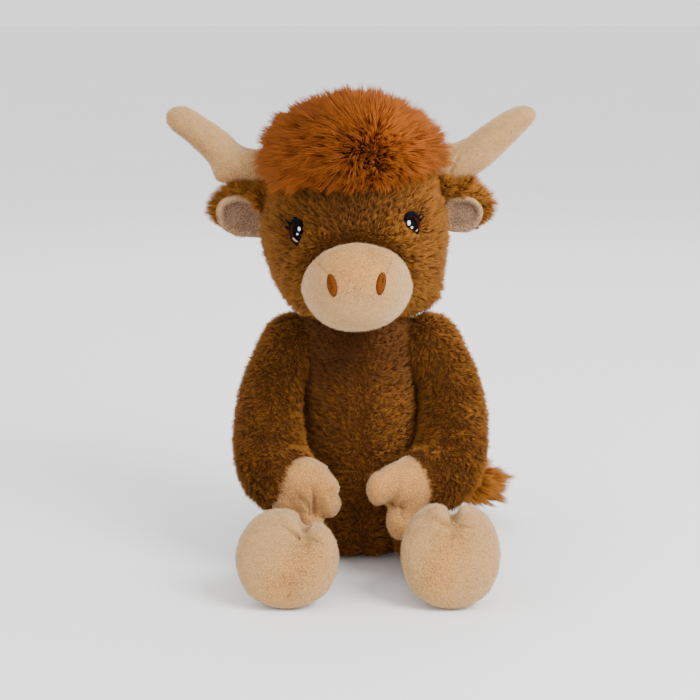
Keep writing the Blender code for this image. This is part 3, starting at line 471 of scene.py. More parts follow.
def set_attribute(mesh: bpy.types.Mesh, name: str, values: Points) -> None:
    """Store a number for each vertex of a mesh."""
    layer = mesh.attributes.get(name) or mesh.attributes.new(name, "FLOAT", "POINT")
    layer.data.foreach_set("value", values.astype(np.float32))


def unit(vectors: Points) -> Points:
    """Return vectors made one long, in the last axis."""
    length = np.linalg.norm(vectors, axis=-1, keepdims=True)
    return vectors / np.maximum(length, 1e-12)


def smooth_share(values: Points, low: float, high: float) -> Points:
    """Return 0 below low, 1 above high and a smooth share between them."""
    share = np.clip((values - low) / (high - low), 0, 1)
    return share * share * (3 - 2 * share)


def at_least(least: float, values: Points, low: float, high: float) -> Points:
    """Return a smooth share of the values from low to high that starts at a least share."""
    return least + (1 - least) * smooth_share(values, low, high)


def bell(gap: Points, width: float = 1.0) -> Points:
    """Return 1 at a gap of 0 and a share that fades to 0 beyond a width."""
    return np.exp(-(gap / width) ** 2)


def nearest_of(points: Points) -> Callable[[Points], np.ndarray]:
    """Return a function that gives the number of the point nearest to each place."""
    tree = KDTree(len(points))
    for index, point in enumerate(points):
        tree.insert(Vector(point), index)
    tree.balance()
    return lambda places: np.array([tree.find(Vector(place))[1] for place in places])


def steady(*way: float) -> Field:
    """Return a flow that runs the same way everywhere."""
    return lambda points: np.tile(np.array(way, float), (len(points), 1))


def outward(middle: Sequence[float]) -> Field:
    """Return a flow that runs outwards from a middle."""
    return lambda points: points - np.array(middle)


def line_distance(points: Points, line: Sequence[Sequence[float]]) -> Points:
    """Return how far each point lies from a line of straight stretches."""
    nearest = np.full(len(points), np.inf)
    for start, end in zip(np.array(line, float), np.array(line, float)[1:]):
        along = end - start
        share = np.clip((points - start) @ along / (along @ along), 0, 1)
        gap = np.linalg.norm(points - start - share[:, None] * along, axis=1)
        nearest = np.minimum(nearest, gap)
    return nearest


@dataclass(frozen=True)
class Sight:
    """The camera's sight, which places a pixel of the photograph on a surface."""

    aim: tuple[float, float, float] = (-8.25 * MM, 0.0, 148.5 * MM)
    distance: float = 1.2
    lift: float = math.radians(12)
    frame_px: int = 700
    focal_px: float = 1600.0
    tries: int = 6

    @property
    def ahead(self) -> Vector:
        """The way in which the camera looks."""
        return Vector((0, math.cos(self.lift), -math.sin(self.lift)))

    @property
    def place(self) -> Vector:
        """The camera's place."""
        return Vector(self.aim) - self.ahead * self.distance

    def ray(self, spot: Pixel) -> Vector:
        """Return the way from the camera through a pixel."""
        right, rise = spot[0] - self.frame_px / 2, self.frame_px / 2 - spot[1]
        up = Vector((0, math.sin(self.lift), math.cos(self.lift)))
        return (self.ahead * self.focal_px + Vector((right, 0, 0)) + up * rise).normalized()

    def on(self, tree: BVHTree, spot: Pixel) -> tuple[Vector, Vector]:
        """Return the surface's point and normal at a pixel, or beside it where the ray misses.

        Args:
            tree: The surface.
            spot: The pixel.

        Returns:
            The point and the normal that faces the camera.
        """
        way = self.ray(spot)
        point, normal, _, _ = tree.ray_cast(self.place, way)
        if point is None:
            near, _, _, _ = tree.find_nearest(Vector(self.aim))
            for _ in range(self.tries):
                along = self.place + way * (near - self.place).dot(way)
                near, normal, _, _ = tree.find_nearest(along)
            point = near
        if normal.dot(way) > 0:
            normal = -normal
        return point, normal

    def line(self, tree: BVHTree, spots: Sequence[Pixel]) -> list[Vector]:
        """Return the surface's points under a line of pixels."""
        return [self.on(tree, spot)[0] for spot in spots]

    def at_depth(self, spot: Pixel, depth: float) -> Vector:
        """Return the point under a pixel at a given Y."""
        way = self.ray(spot)
        return self.place + way * ((depth - self.place.y) / way.y)


SIGHT = Sight()


class Waves:
    """A smooth random field from about -1 to 1, made of plane waves."""

    def __init__(self, length: float, seed: int, count: int = 18) -> None:
        """Choose the waves.

        Args:
            length: Their mean length in metres.
            seed: The seed of the choice.
            count: How many there are.
        """
        chance = np.random.default_rng(seed)
        spread = chance.uniform(0.65, 1.5, (count, 1))
        self.steps = unit(chance.normal(size=(count, 3))) * spread * math.tau / length
        self.starts = chance.uniform(0, math.tau, count)

    def at(self, points: Points) -> Points:
        """Return the field's value at each point."""
        total = np.sin(points @ self.steps.T + self.starts).sum(1)
        return total * math.sqrt(2 / len(self.starts)) / 1.6


def node_copy(name: str, nodes: Iterable[str]) -> bpy.types.Object:
    """Return one new object that holds copies of CAD nodes, with their doubles merged."""
    bm = bmesh.new()
    for node in nodes:
        bm.from_mesh(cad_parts[node].data)
    bmesh.ops.remove_doubles(bm, verts=bm.verts[:], dist=0.02 * MM)
    mesh = bpy.data.meshes.new(name)
    bm.to_mesh(mesh)
    bm.free()
    piece = bpy.data.objects.new(name, mesh)
    bpy.context.scene.collection.objects.link(piece)
    return piece


@contextmanager
def opened(piece: bpy.types.Object) -> Iterator[bmesh.types.BMesh]:
    """Open a piece's mesh for editing and write it back afterwards."""
    bm = bmesh.new()
    bm.from_mesh(piece.data)
    yield bm
    bm.to_mesh(piece.data)
    bm.free()


def keep_largest(piece: bpy.types.Object) -> None:
    """Delete all but the largest connected part of a piece."""
    with opened(piece) as bm:
        unseen = set(bm.verts)
        islands = []
        while unseen:
            island = [unseen.pop()]
            for vert in island:
                others = {edge.other_vert(vert) for edge in vert.link_edges} & unseen
                unseen -= others
                island.extend(others)
            islands.append(island)
        for island in sorted(islands, key=len)[:-1]:
            bmesh.ops.delete(bm, geom=island, context="VERTS")


@dataclass(frozen=True)
class Stuffing:
    """How a cover is stuffed: the fineness of its mesh and how far pressure may push it."""

    voxel: float = 3.0 * MM
    relax: int = 6
    pressure: float = 4.0
    cap: float = 2.0 * MM
    stiffness: float = 12.0
    bending: float = 0.4
    frames: int = 20
    fill: float = 0.7

    def form(self, name: str, nodes: Sequence[str],
             extras: Sequence[bpy.types.Object] = ()) -> bpy.types.Object:
        """Return a stuffed cover made from CAD nodes.

        Args:
            name: The piece's name.
            nodes: The CAD nodes whose space it fills.
            extras: Modelled forms that are fused with it.

        Returns:
            The piece, with its seams still to come.
        """
        piece = node_copy(name, nodes)
        if extras:
            join(piece, extras)
        remesh(piece, self.voxel, self.relax)
        keep_largest(piece)
        self._press(piece)
        return piece

    def form_sewn(self, names: tuple[str, str], nodes: Sequence[str], seam: tuple[Vector, Vector],
                  laps: Span) -> tuple[bpy.types.Object, bpy.types.Object]:
        """Return a limb's plush cover and its velour end, cut apart at their seam.

        Args:
            names: The names of the cover and of the end.
            nodes: The CAD nodes whose space they fill.
            seam: The seam's middle and the normal that points to the end.
            laps: How far the cover and the end reach past the seam.

        Returns:
            The cover and the end.
        """
        cover = self.form(names[0], nodes)
        end = cover.copy()
        end.data = cover.data.copy()
        end.name = names[1]
        bpy.context.scene.collection.objects.link(end)
        middle, normal = seam
        cut_away(cover, middle + normal * laps[0], normal)
        cut_away(end, middle - normal * laps[1], -normal)
        return cover, end

    def _press(self, piece: bpy.types.Object) -> None:
        """Blow a cover up with cloth simulation and keep the capped result."""
        start = read_points(piece.data)
        cloth = piece.modifiers.new("stuffing", "CLOTH")
        cloth.settings.quality = 4
        cloth.settings.use_pressure = True
        cloth.settings.uniform_pressure_force = self.pressure
        cloth.settings.effector_weights.gravity = 0
        cloth.settings.tension_stiffness = self.stiffness
        cloth.settings.compression_stiffness = self.stiffness
        cloth.settings.bending_stiffness = self.bending
        cloth.collision_settings.use_collision = False
        scene = bpy.context.scene
        for number in range(1, self.frames + 1):
            scene.frame_set(number)
        graph = bpy.context.evaluated_depsgraph_get()
        end = read_points(piece.evaluated_get(graph).data)
        piece.modifiers.remove(cloth)
        scene.frame_set(1)
        move = end - start
        length = np.linalg.norm(move, axis=1, keepdims=True)
        write_points(piece.data, start + move * np.minimum(1, self.cap / np.maximum(length, 1e-9)))


def refine(piece: bpy.types.Object) -> None:
    """Subdivide a piece smoothly and shade it smooth."""
    apply_modifier(piece, "SUBSURF", levels=1, render_levels=1)
    piece.data.shade_smooth()


def contact_plane(carried: str, carrier: str, reach: float = 1.2 * MM) -> tuple[Vector, Vector]:
    """Return the middle and the outward normal of the seam between two CAD nodes.

    Args:
        carried: The node that the normal points into.
        carrier: The node that it is sewn to.
        reach: How close the two lie along their seam.

    Returns:
        The seam's middle and normal.
    """
    other = surface_tree(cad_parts[carrier])
    points = read_points(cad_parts[carried].data)
    near = [p for p in points if other.find_nearest(Vector(p), reach)[0] is not None]
    near = np.unique(np.round(np.array(near), 5), axis=0)
    middle = near.mean(0)
    normal = np.linalg.svd(near - middle)[2][2]
    if normal @ (points.mean(0) - middle) < 0:
        normal = -normal
    return Vector(middle), Vector(normal)


def surface_tree(piece: bpy.types.Object) -> BVHTree:
    """Return a search tree of a piece's surface."""
    mesh = piece.data
    mesh.calc_loop_triangles()
    points = [v.co for v in mesh.vertices]
    return BVHTree.FromPolygons(points, [t.vertices for t in mesh.loop_triangles])


def cut_away(piece: bpy.types.Object, point: Vector, normal: Vector) -> None:
    """Cut a piece at a plane, drop what lies on its normal's side and close the cut."""
    with opened(piece) as bm:
        parts = bm.verts[:] + bm.edges[:] + bm.faces[:]
        bmesh.ops.bisect_plane(bm, geom=parts, plane_co=point, plane_no=normal, clear_outer=True)
        bmesh.ops.holes_fill(bm, edges=[edge for edge in bm.edges if edge.is_boundary])
        bmesh.ops.triangulate(bm, faces=[face for face in bm.faces if len(face.verts) > 4])
        bmesh.ops.recalc_face_normals(bm, faces=bm.faces[:])
    keep_largest(piece)


def add_fold_shade(piece: bpy.types.Object, share: Points) -> None:
    """Darken a piece by a share at each vertex, as painted shade in its folds and shaded places."""
    # The fold attribute holds that painted shade; the velour finishes read it.
    old = np.zeros(len(share), np.float32)
    layer = piece.data.attributes.get("fold")
    if layer is not None:
        layer.data.foreach_get("value", old)
    set_attribute(piece.data, "fold", np.maximum(old, share))


def make_finer(piece: bpy.types.Object, line: Sequence[Sequence[float]], reach: float,
               cuts: int, finest: float = 0.6 * MM) -> None:
    """Subdivide the faces of a piece that lie near a line, but no edge that is fine already.

    Args:
        piece: The piece.
        line: The points of the line.
        reach: How far from it the faces lie.
        cuts: How many cuts an edge gets.
        finest: The length below which an edge gets none.
    """
    near = line_distance(read_points(piece.data), line) < reach
    with opened(piece) as bm:
        edges = [edge for edge in bm.edges if edge.calc_length() > finest
                 and all(near[vert.index] for vert in edge.verts)]
        bmesh.ops.subdivide_edges(bm, edges=edges, cuts=cuts, smooth=0.6, use_grid_fill=True)
        bmesh.ops.triangulate(bm, faces=[face for face in bm.faces if len(face.verts) > 4])
    piece.data.shade_smooth()


def groove(piece: bpy.types.Object, line: Sequence[Sequence[float]], width: float,
           depth: float, taper: bool = False, cuts: int = 0) -> None:
    """Press a seam or a wrinkle into a piece along a line, narrow in a wider dip, with painted shade.

    Args:
        piece: The piece.
        line: The points that the groove follows.
        width: Its half width.
        depth: Its depth.
        taper: Whether it fades towards its end.
        cuts: How much finer the mesh is made near it.
    """
    if cuts:
        make_finer(piece, line, GROOVE_REACH * width, cuts)
    points = read_points(piece.data)
    gap = line_distance(points, line) / width
    share = CREASE_SHARE * bell(gap) + (1 - CREASE_SHARE) * bell(gap, DIP_WIDTH)
    if taper:
        start, end = np.array(line[0], float), np.array(line[-1], float)
        along = np.clip((points - start) @ (end - start) / ((end - start) @ (end - start)), 0, 1)
        share = share * (1 - along) ** TAPER_POWER
    write_points(piece.data, points - read_normals(piece.data) * (share * depth)[:, None])
    # Painted shade in the groove, darker in a deeper one.
    add_fold_shade(piece, share * min(1, depth / FULL_SHADE_DEPTH))


def fold_along(piece: bpy.types.Object, tree: BVHTree, creases: Sequence[Crease]) -> None:
    """Press fading creases with painted shade into a piece, whose surface is given as a tree."""
    for spots, width, depth in creases:
        groove(piece, SIGHT.line(tree, spots), width * MM, depth * MM, taper=True, cuts=2)


def swell(piece: bpy.types.Object, amount: Union[float, Field]) -> None:
    """Push a whole piece outwards by an amount, or by a field of amounts."""
    points = read_points(piece.data)
    push = amount(points)[:, None] if callable(amount) else amount
    write_points(piece.data, points + read_normals(piece.data) * push)


@dataclass(frozen=True)
class Lump:
    """One rounded lump of a fold: its pixel, its Y in mm and its half sizes in pixels."""

    spot: Pixel
    y_mm: float
    width: float
    thickness: float
    height: float
    turn: float = 0.0

    def ball(self) -> bpy.types.Object:
        """Model the lump, turned clockwise as the camera sees it."""
        middle = SIGHT.at_depth(self.spot, self.y_mm * MM)
        pixel = (middle - SIGHT.place).length / SIGHT.focal_px
        deselect_all()
        bpy.ops.mesh.primitive_uv_sphere_add(segments=24, ring_count=14, radius=pixel)
        ball = bpy.context.active_object
        bpy.ops.object.mode_set(mode="EDIT")
        bpy.ops.mesh.select_all(action="SELECT")
        bpy.ops.transform.resize(value=(self.width, self.thickness, self.height))
        bpy.ops.transform.rotate(value=-self.turn, orient_axis="Y", center_override=(0, 0, 0))
        bpy.ops.transform.translate(value=tuple(middle))
        bpy.ops.object.mode_set(mode="OBJECT")
        return ball


def join(piece: bpy.types.Object, parts: Sequence[bpy.types.Object]) -> None:
    """Join parts to a piece."""
    deselect_all()
    for part in (piece, *parts):
        part.select_set(True)
    bpy.context.view_layer.objects.active = piece
    bpy.ops.object.join()


def remould(piece: bpy.types.Object, added: Sequence[Lump], cut: Sequence[Lump],
            voxel: float, relax: int) -> None:
    """Fuse lumps with a piece and cut others out of it.

    Args:
        piece: The piece.
        added: The lumps that join it.
        cut: The lumps whose space is cut out.
        voxel: The fineness of the new mesh.
        relax: How often it is smoothed.
    """
    hollows = [lump.ball() for lump in cut]
    if added:
        join(piece, [lump.ball() for lump in added])
        remesh(piece, voxel)
    for hollow in hollows:
        apply_modifier(piece, "BOOLEAN", object=hollow, operation="DIFFERENCE", solver="EXACT")
        bpy.data.objects.remove(hollow)
    remesh(piece, voxel, relax)
    keep_largest(piece)


def rim_share(piece: bpy.types.Object, lines: Sequence[Sequence[Pixel]], width: float) -> Points:
    """Return how near each point of a piece lies to lines of pixels on it, from 0 to 1."""
    tree, points = surface_tree(piece), read_points(piece.data)
    share = np.zeros(len(points))
    for line in lines:
        share = np.maximum(share, bell(line_distance(points, SIGHT.line(tree, line)), width))
    return share


def warp(piece: bpy.types.Object, moves: Moves, radius: float) -> None:
    """Move places of a piece, seen by the camera, from pixels to other pixels.

    Args:
        piece: The piece.
        moves: The pixels where the places are and where they go.
        radius: How far around each place the move reaches.
    """
    tree = surface_tree(piece)
    points = read_points(piece.data)
    total, weight = np.zeros_like(points), np.zeros(len(points))
    for start, end in moves:
        here, _ = SIGHT.on(tree, start)
        there = SIGHT.at_depth(end, here.y)
        share = np.exp(-((points - np.array(here)) ** 2).sum(1) / radius ** 2)
        total += share[:, None] * np.array(there - here)
        weight += share
    write_points(piece.data, points + total / np.maximum(weight, 1)[:, None])


def bulge(piece: bpy.types.Object, middle: Sequence[float], radius: float,
          push: Sequence[float]) -> None:
    """Push the points near a middle by a vector that fades with distance."""
    points = read_points(piece.data)
    share = bell(np.linalg.norm(points - np.array(middle, float), axis=1), radius)
    write_points(piece.data, points + share[:, None] * np.array(push, float))


def dress(piece: bpy.types.Object, material: bpy.types.Material, slot: Slot, body: str,
          *nodes: str) -> bpy.types.Object:
    """Give a piece its material and its body, and hide the CAD nodes that it stands for.

    Args:
        piece: The piece.
        material: Its material.
        slot: The record's slot; not used.
        body: The CAD body that it rides on.
        nodes: The CAD nodes that it replaces.

    Returns:
        The piece.
    """
    piece.data.materials.clear()
    piece.data.materials.append(material)
    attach(piece, body)
    if nodes:
        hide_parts(*nodes)
    log.info("%s: %d faces on %s", piece.name, len(piece.data.polygons), body)
    return piece


def dress_sewn(cover: bpy.types.Object, end: bpy.types.Object, body: str, nodes: Sequence[str],
               end_nodes: Sequence[str]) -> None:
    """Dress a limb's plush cover and its velour end.

    Args:
        cover: The cover.
        end: The end.
        body: The CAD body that they ride on.
        nodes: The CAD nodes that the cover replaces.
        end_nodes: The CAD nodes that the end replaces.
    """
    dress(cover, BODY_PILE.ground_material(), Slot.BODY, body, *nodes)
    dress(end, VELOUR.material(), Slot.VELOUR, body, *end_nodes)


@dataclass
class Pile:
    """Strands that stand on a ground, lean along a flow and gather in small tufts."""

    name: str
    finish: PileFinish
    flow: Field
    seed: int
    length: float = 6.0 * MM
    width: float = 0.62 * MM
    density: float = 1.7
    lean: float = math.radians(42)
    lean_field: Optional[Field] = None
    # A field that shifts the tone attribute: painted shade and light on the torso, the brow and the
    # forelock, a lighter pile on the ears.
    tone_and_shade_field: Optional[Field] = None
    length_field: Optional[Field] = None
    steps: int = 1
    tuft: float = 2.3 * MM
    pull: float = 0.32
    tuft_turn: float = 0.30
    uneven: float = 0.14
    jitter: float = 0.22
    leader_jitter: float = 0.05
    lean_ruffle: float = 0.28
    lean_spread: float = 0.14
    tone_spread: float = 0.12
    curl: Span = (0.55, 0.75)
    tilt_limits: Span = (-0.2, 1.5)
    gather: float = 1.3
    loosening: Span = (0.6, 1.15)
    uneven_span: Span = (1.1, 0.9)
    most_pull: float = 0.95
    ruffle: float = 0.46
    ruffle_size: float = 12 * MM
    fine_ruffle: float = 0.7
    fine_size: float = 0.4
    lean_size: float = 0.7
    droop: float = 0.0
    sink: float = 0.6 * MM
    room: int = 45000

    def grow(self, ground: bpy.types.Object, slot: Slot, body: str,
             keep: Optional[Field] = None) -> None:
        """Grow the strands, in pieces that hold at most the pile's room of them each.

        Args:
            ground: The piece that they stand on.
            slot: The record's slot.
            body: The CAD body that they ride on.
            keep: A function that gives the share of strands kept at each point.
        """
        chance = np.random.default_rng(self.seed)
        roots, normals = self._roots(ground, chance, keep)
        paths, tones = self._paths(roots, normals, chance)
        order = np.argsort(roots[:, 2] + roots[:, 0] * 0.2)
        bundles = max(1, math.ceil(len(roots) / self.room))
        for number, chosen in enumerate(np.array_split(order, bundles)):
            name = self.name if bundles == 1 else f"{self.name}_{number + 1}"
            piece = strand_piece(name, paths[chosen], tones[chosen], self.width, chance)
            dress(piece, self.finish.strand_material(), slot, body)

    def _roots(self, ground: bpy.types.Object, chance: np.random.Generator,
               keep: Optional[Field]) -> tuple[Points, Points]:
        """Return the strands' roots and the ground's normals there."""
        mesh = ground.data
        mesh.calc_loop_triangles()
        corners = np.empty(len(mesh.loop_triangles) * 3, np.int32)
        mesh.loop_triangles.foreach_get("vertices", corners)
        corners = corners.reshape(-1, 3)
        points, normals = read_points(mesh), read_normals(mesh)
        a, b, c = (points[corners[:, i]] for i in range(3))
        areas = np.linalg.norm(np.cross(b - a, c - a), axis=1) / 2
        count = int(areas.sum() / MM ** 2 * self.density)
        chosen = np.searchsorted(np.cumsum(areas) / areas.sum(), chance.random(count))
        chosen = np.minimum(chosen, len(areas) - 1)
        first, second = np.sqrt(chance.random(count)), chance.random(count)
        weights = np.stack([1 - first, first * (1 - second), first * second], 1)[:, :, None]
        roots = (points[corners[chosen]] * weights).sum(1)
        ways = unit((normals[corners[chosen]] * weights).sum(1))
        if keep is not None:
            kept = chance.random(count) < keep(roots)
            roots, ways = roots[kept], ways[kept]
        return roots, ways

    def _headings(self, roots: Points, normals: Points) -> Points:
        """Return the way along the ground that each strand leans, ruffled."""
        way = self.flow(roots)
        way = unit(way - (way * normals).sum(1, keepdims=True) * normals)
        turn = self.ruffle * Waves(self.ruffle_size, self.seed + 1).at(roots)
        fine = Waves(self.ruffle_size * self.fine_size, self.seed + 2)
        turn += self.ruffle * self.fine_ruffle * fine.at(roots)
        across = np.cross(normals, way)
        return way * np.cos(turn)[:, None] + across * np.sin(turn)[:, None]

    def _paths(self, roots: Points, normals: Points,
               chance: np.random.Generator) -> tuple[Points, Points]:
        """Return the points along each strand and the strands' tones."""
        count = len(roots)
        way = self._headings(roots, normals)
        lean = self.lean_field(roots) if self.lean_field else np.full(count, self.lean)
        waves = Waves(self.ruffle_size * self.lean_size, self.seed + 3)
        lean = lean * (1 + self.lean_ruffle * waves.at(roots))
        length = self.length * (self.length_field(roots) if self.length_field else np.ones(count))
        tufts = max(1, int(count / self.density / (self.tuft / MM) ** 2))
        centres = chance.permutation(count)[:tufts]
        owner = nearest_of(roots[centres])(roots)
        tuft_turn = chance.normal(0, self.tuft_turn, tufts)
        tuft_lean = chance.normal(1, self.lean_spread, tufts)
        shorter, longer = self.uneven_span
        tuft_length = chance.uniform(1 - shorter * self.uneven, 1 + longer * self.uneven, tufts)
        tuft_tone = chance.normal(0, self.tone_spread, tufts)

        def bend(index: Points, own: Points, jitter: float) -> Points:
            """Return the paths of some strands as their tufts turn them."""
            turn = tuft_turn[own] + chance.normal(0, jitter, len(index))
            across = np.cross(normals[index], way[index])
            heading = way[index] * np.cos(turn)[:, None] + across * np.sin(turn)[:, None]
            angle = lean[index] * tuft_lean[own] + chance.normal(0, jitter * 0.5, len(index))
            reach = length[index] * tuft_length[own]
            reach = reach * chance.uniform(1 - jitter, 1 + jitter, len(index))
            path = [roots[index] - normals[index] * self.sink]
            for step in range(self.steps):
                curl = self.curl[0] + self.curl[1] * (step + 0.5) / self.steps
                tilt = np.clip(angle * curl, *self.tilt_limits)
                move = normals[index] * np.cos(tilt)[:, None] + heading * np.sin(tilt)[:, None]
                move[:, 2] -= self.droop * (step + 0.5) / self.steps
                path.append(path[-1] + unit(move) * (reach / self.steps)[:, None])
            return np.stack(path, 1)

        own_paths = bend(np.arange(count), owner, self.jitter)
        leaders = bend(centres, np.arange(tufts), self.leader_jitter)[owner]
        share = (np.arange(self.steps + 1) / self.steps) ** self.gather * self.pull
        loosen = chance.uniform(*self.loosening, (count, 1, 1))
        pull = np.minimum(share[None, :, None] * loosen, self.most_pull)
        paths = own_paths + (leaders - own_paths) * pull
        # The field's painted shade and light shift each strand's base.
        base = 0.5 + (self.tone_and_shade_field(roots) if self.tone_and_shade_field else 0.0)
        tones = base + tuft_tone[owner] + chance.normal(0, self.tone_spread, count)
        return paths, np.clip(tones, 0, 1)


def strand_piece(name: str, paths: Points, tones: Points, width: float,
                 chance: np.random.Generator) -> bpy.types.Object:
    """Return an object that holds three-sided strands along paths.

    Args:
        name: The object's name.
        paths: The points along each strand, root to tip.
        tones: How light each strand is, from 0 to 1.
        width: A strand's width.
        chance: The generator that turns each strand about itself.

    Returns:
        The object, with the attributes rise and tone.
    """
    count, rings = len(paths), paths.shape[1] - 1
    along = unit(paths[:, -1] - paths[:, 0])
    side = unit(np.cross(along, unit(chance.normal(size=(count, 3)))))
    other = np.cross(along, side)
    shares = np.arange(rings) / rings
    radii = width * (STRAND_RADIUS + STRAND_BELLY * np.sin(shares * math.pi))
    radii = radii * np.linspace(1.0, STRAND_TIP, rings)
    size = 3 * rings + 1
    points = np.empty((count, size, 3))
    for ring in range(rings):
        for corner in range(3):
            angle = math.tau * corner / 3
            out = side * math.cos(angle) + other * math.sin(angle)
            points[:, ring * 3 + corner] = paths[:, ring] + out * radii[ring]
    points[:, -1] = paths[:, -1]
    faces = [(2, 1, 0)]
    for ring in range(rings):
        for corner in range(3):
            low, high = ring * 3 + corner, ring * 3 + (corner + 1) % 3
            if ring == rings - 1:
                faces.append((low, high, size - 1))
            else:
                faces.append((low, high, high + 3))
                faces.append((low, high + 3, low + 3))
    corners = (np.array(faces)[None] + (np.arange(count) * size)[:, None, None]).reshape(-1)
    mesh = bpy.data.meshes.new(name)
    mesh.vertices.add(count * size)
    mesh.vertices.foreach_set("co", points.astype(np.float32).ravel())
    mesh.loops.add(len(corners))
    mesh.loops.foreach_set("vertex_index", corners.astype(np.int32))
    mesh.polygons.add(len(corners) // 3)
    mesh.polygons.foreach_set("loop_start", np.arange(0, len(corners), 3, dtype=np.int32))
    mesh.update(calc_edges=True)
    rise = np.append(np.repeat(shares, 3), 1.0)
    set_attribute(mesh, "rise", np.tile(rise, count))
    set_attribute(mesh, "tone", np.repeat(tones, size))
    mesh.shade_smooth()
    piece = bpy.data.objects.new(name, mesh)
    bpy.context.scene.collection.objects.link(piece)
    return piece


def away_from(others: Sequence[bpy.types.Object], gap: float) -> Field:
    """Return a field that is 0 within a gap of other pieces and 1 beyond it."""
    trees = [surface_tree(other) for other in others]

    def keep(points: Points) -> Points:
        """Return 1 for each point that is clear of the others."""
        return np.array([all(tree.find_nearest(Vector(point), gap)[0] is None for tree in trees)
                         for point in points], float)

    return keep


def fuzz(name: str, ground: bpy.types.Object, body: str, flow: Field, keep: Optional[Field],
         density: float, seed: int) -> None:
    """Grow the short nap that stands on velour.

    Args:
        name: The name of its strands.
        ground: The velour piece.
        body: The CAD body that it rides on.
        flow: The way in which it leans.
        keep: A function that gives the share of strands kept at each point.
        density: How many strands stand on a square millimetre.
        seed: The seed of its random draws.
    """
    Pile(name, NAP, flow, seed, length=1.5 * MM, width=0.34 * MM, density=density,
         lean=math.radians(38), pull=0.15, tuft=1.8 * MM, sink=0.3 * MM,
         ruffle_size=9 * MM).grow(ground, Slot.VELOUR, body, keep)


def beyond(tree: BVHTree, points: Points, reach: float = 20 * MM) -> Points:
    """Return 0 for each point in a closed surface, within a reach of it, and 1 for the others."""
    outside = np.ones(len(points))
    for index, point in enumerate(points):
        spot = Vector(point)
        near, normal, _, _ = tree.find_nearest(spot, reach)
        if near is not None and (spot - near).dot(normal) < 0:
            outside[index] = 0
    return outside


def cad(*names: str) -> list[bpy.types.Object]:
    """Return CAD nodes by name."""
    return [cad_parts[name] for name in names]


@dataclass
class Torso:
    """The pear-shaped body of short plush with its front seam."""

    stuffing: Stuffing = Stuffing(voxel=5.0 * MM, cap=2.0 * MM)
    swelling: float = 2.6 * MM
    belly_push: float = 7.0 * MM
    belly_height: float = 10 * MM
    belly_radius: float = 32 * MM
    seam_depth: float = 2.6 * MM
    seam_width: float = 3.2 * MM
    seam_px: tuple[Pixel, ...] = ((358, 330), (360, 400), (361, 460), (362, 520), (363, 560))
    neck_gap: float = 1.6 * MM
    floor_gap: float = 1.6 * MM
    edge_height: float = 22 * MM
    flat_height: float = 14 * MM
    part_width: float = 14 * MM
    nap_rise: Span = (0.25, 0.35)
    nap_out: float = 0.9
    nap_back: float = 0.4
    seam_thinning: float = 0.5
    seam_trim: float = 0.6
    seat_trim: float = 0.45
    # Where and how strongly the pile gets painted shade under the chin, at the arms and over the
    # front, and painted light at the seat.
    chin: Span = (118 * MM, 155 * MM)
    armpit: Span = (80 * MM, 110 * MM)
    armpit_x: float = 41 * MM
    armpit_width: float = 6 * MM
    seat: Span = (25 * MM, 80 * MM)
    front: Span = (-10 * MM, 20 * MM)
    base_painted_shade: float = -0.12
    chin_painted_shade: float = -0.50
    armpit_painted_shade: float = -0.40
    seat_painted_light: float = 0.62
    nodes: tuple[str, ...] = ("torso_cover", "torso_filling", "pellet_bag")

    def flow(self, points: Points) -> Points:
        """Return the nap, which runs from the front seam outwards and a little up."""
        out = np.tanh(points[:, 0] / self.part_width)
        behind = points[:, 1] > 0
        rise = (self.nap_rise[0] + self.nap_rise[1] * np.abs(out)) * np.where(behind, -1, 1)
        return np.stack([out * self.nap_out, np.where(behind, self.nap_back, 0.0), rise], 1)

    def tone(self, points: Points) -> Points:
        """Return painted shade under the chin and at the arms, and painted light at the seat."""
        chin = smooth_share(points[:, 2], *self.chin)
        crease = bell(np.abs(points[:, 0]) - self.armpit_x, self.armpit_width)
        crease = crease * smooth_share(points[:, 2], *self.armpit)
        seat = 1 - smooth_share(points[:, 2], *self.seat)
        front = 1 - smooth_share(points[:, 1], *self.front)
        return (self.seat_painted_light * seat + self.base_painted_shade + self.chin_painted_shade * chin
                + self.armpit_painted_shade * crease) * front

    def build(self) -> None:
        """Make the stuffed cover and its pile."""
        ground = self.stuffing.form("torso_plush", self.nodes)
        swell(ground, lambda spots: self.swelling * smooth_share(spots[:, 2], 0, self.flat_height))
        low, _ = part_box("torso_cover")
        bulge(ground, (0, low.y, self.belly_height), self.belly_radius, (0, -self.belly_push, 0))
        seam = SIGHT.line(surface_tree(ground), self.seam_px)
        refine(ground)
        groove(ground, seam, self.seam_width, self.seam_depth)
        dress(ground, BODY_PILE.ground_material(), Slot.BODY, "torso", *self.nodes)
        clear = away_from(cad("head_cover", "neck_seam_thread"), self.neck_gap)

        def keep(points: Points) -> Points:
            """Return where the torso has pile: not on its seat nor in the neck, thin at the seam."""
            beside = at_least(self.seam_thinning, line_distance(points, seam), 0, 2 * MM)
            return clear(points) * (points[:, 2] > self.floor_gap) * beside

        def shorten(points: Points) -> Points:
            """Return the pile's length as a share, short at the seat's edge and along the seam."""
            over_seat = at_least(self.seat_trim, points[:, 2], 0, self.edge_height)
            return over_seat * at_least(self.seam_trim, line_distance(points, seam), 0, 5 * MM)

        Pile("torso_pile", BODY_PILE, self.flow, seed=11, length_field=shorten, tone_and_shade_field=self.tone,
             density=1.6).grow(ground, Slot.BODY, "torso", keep)


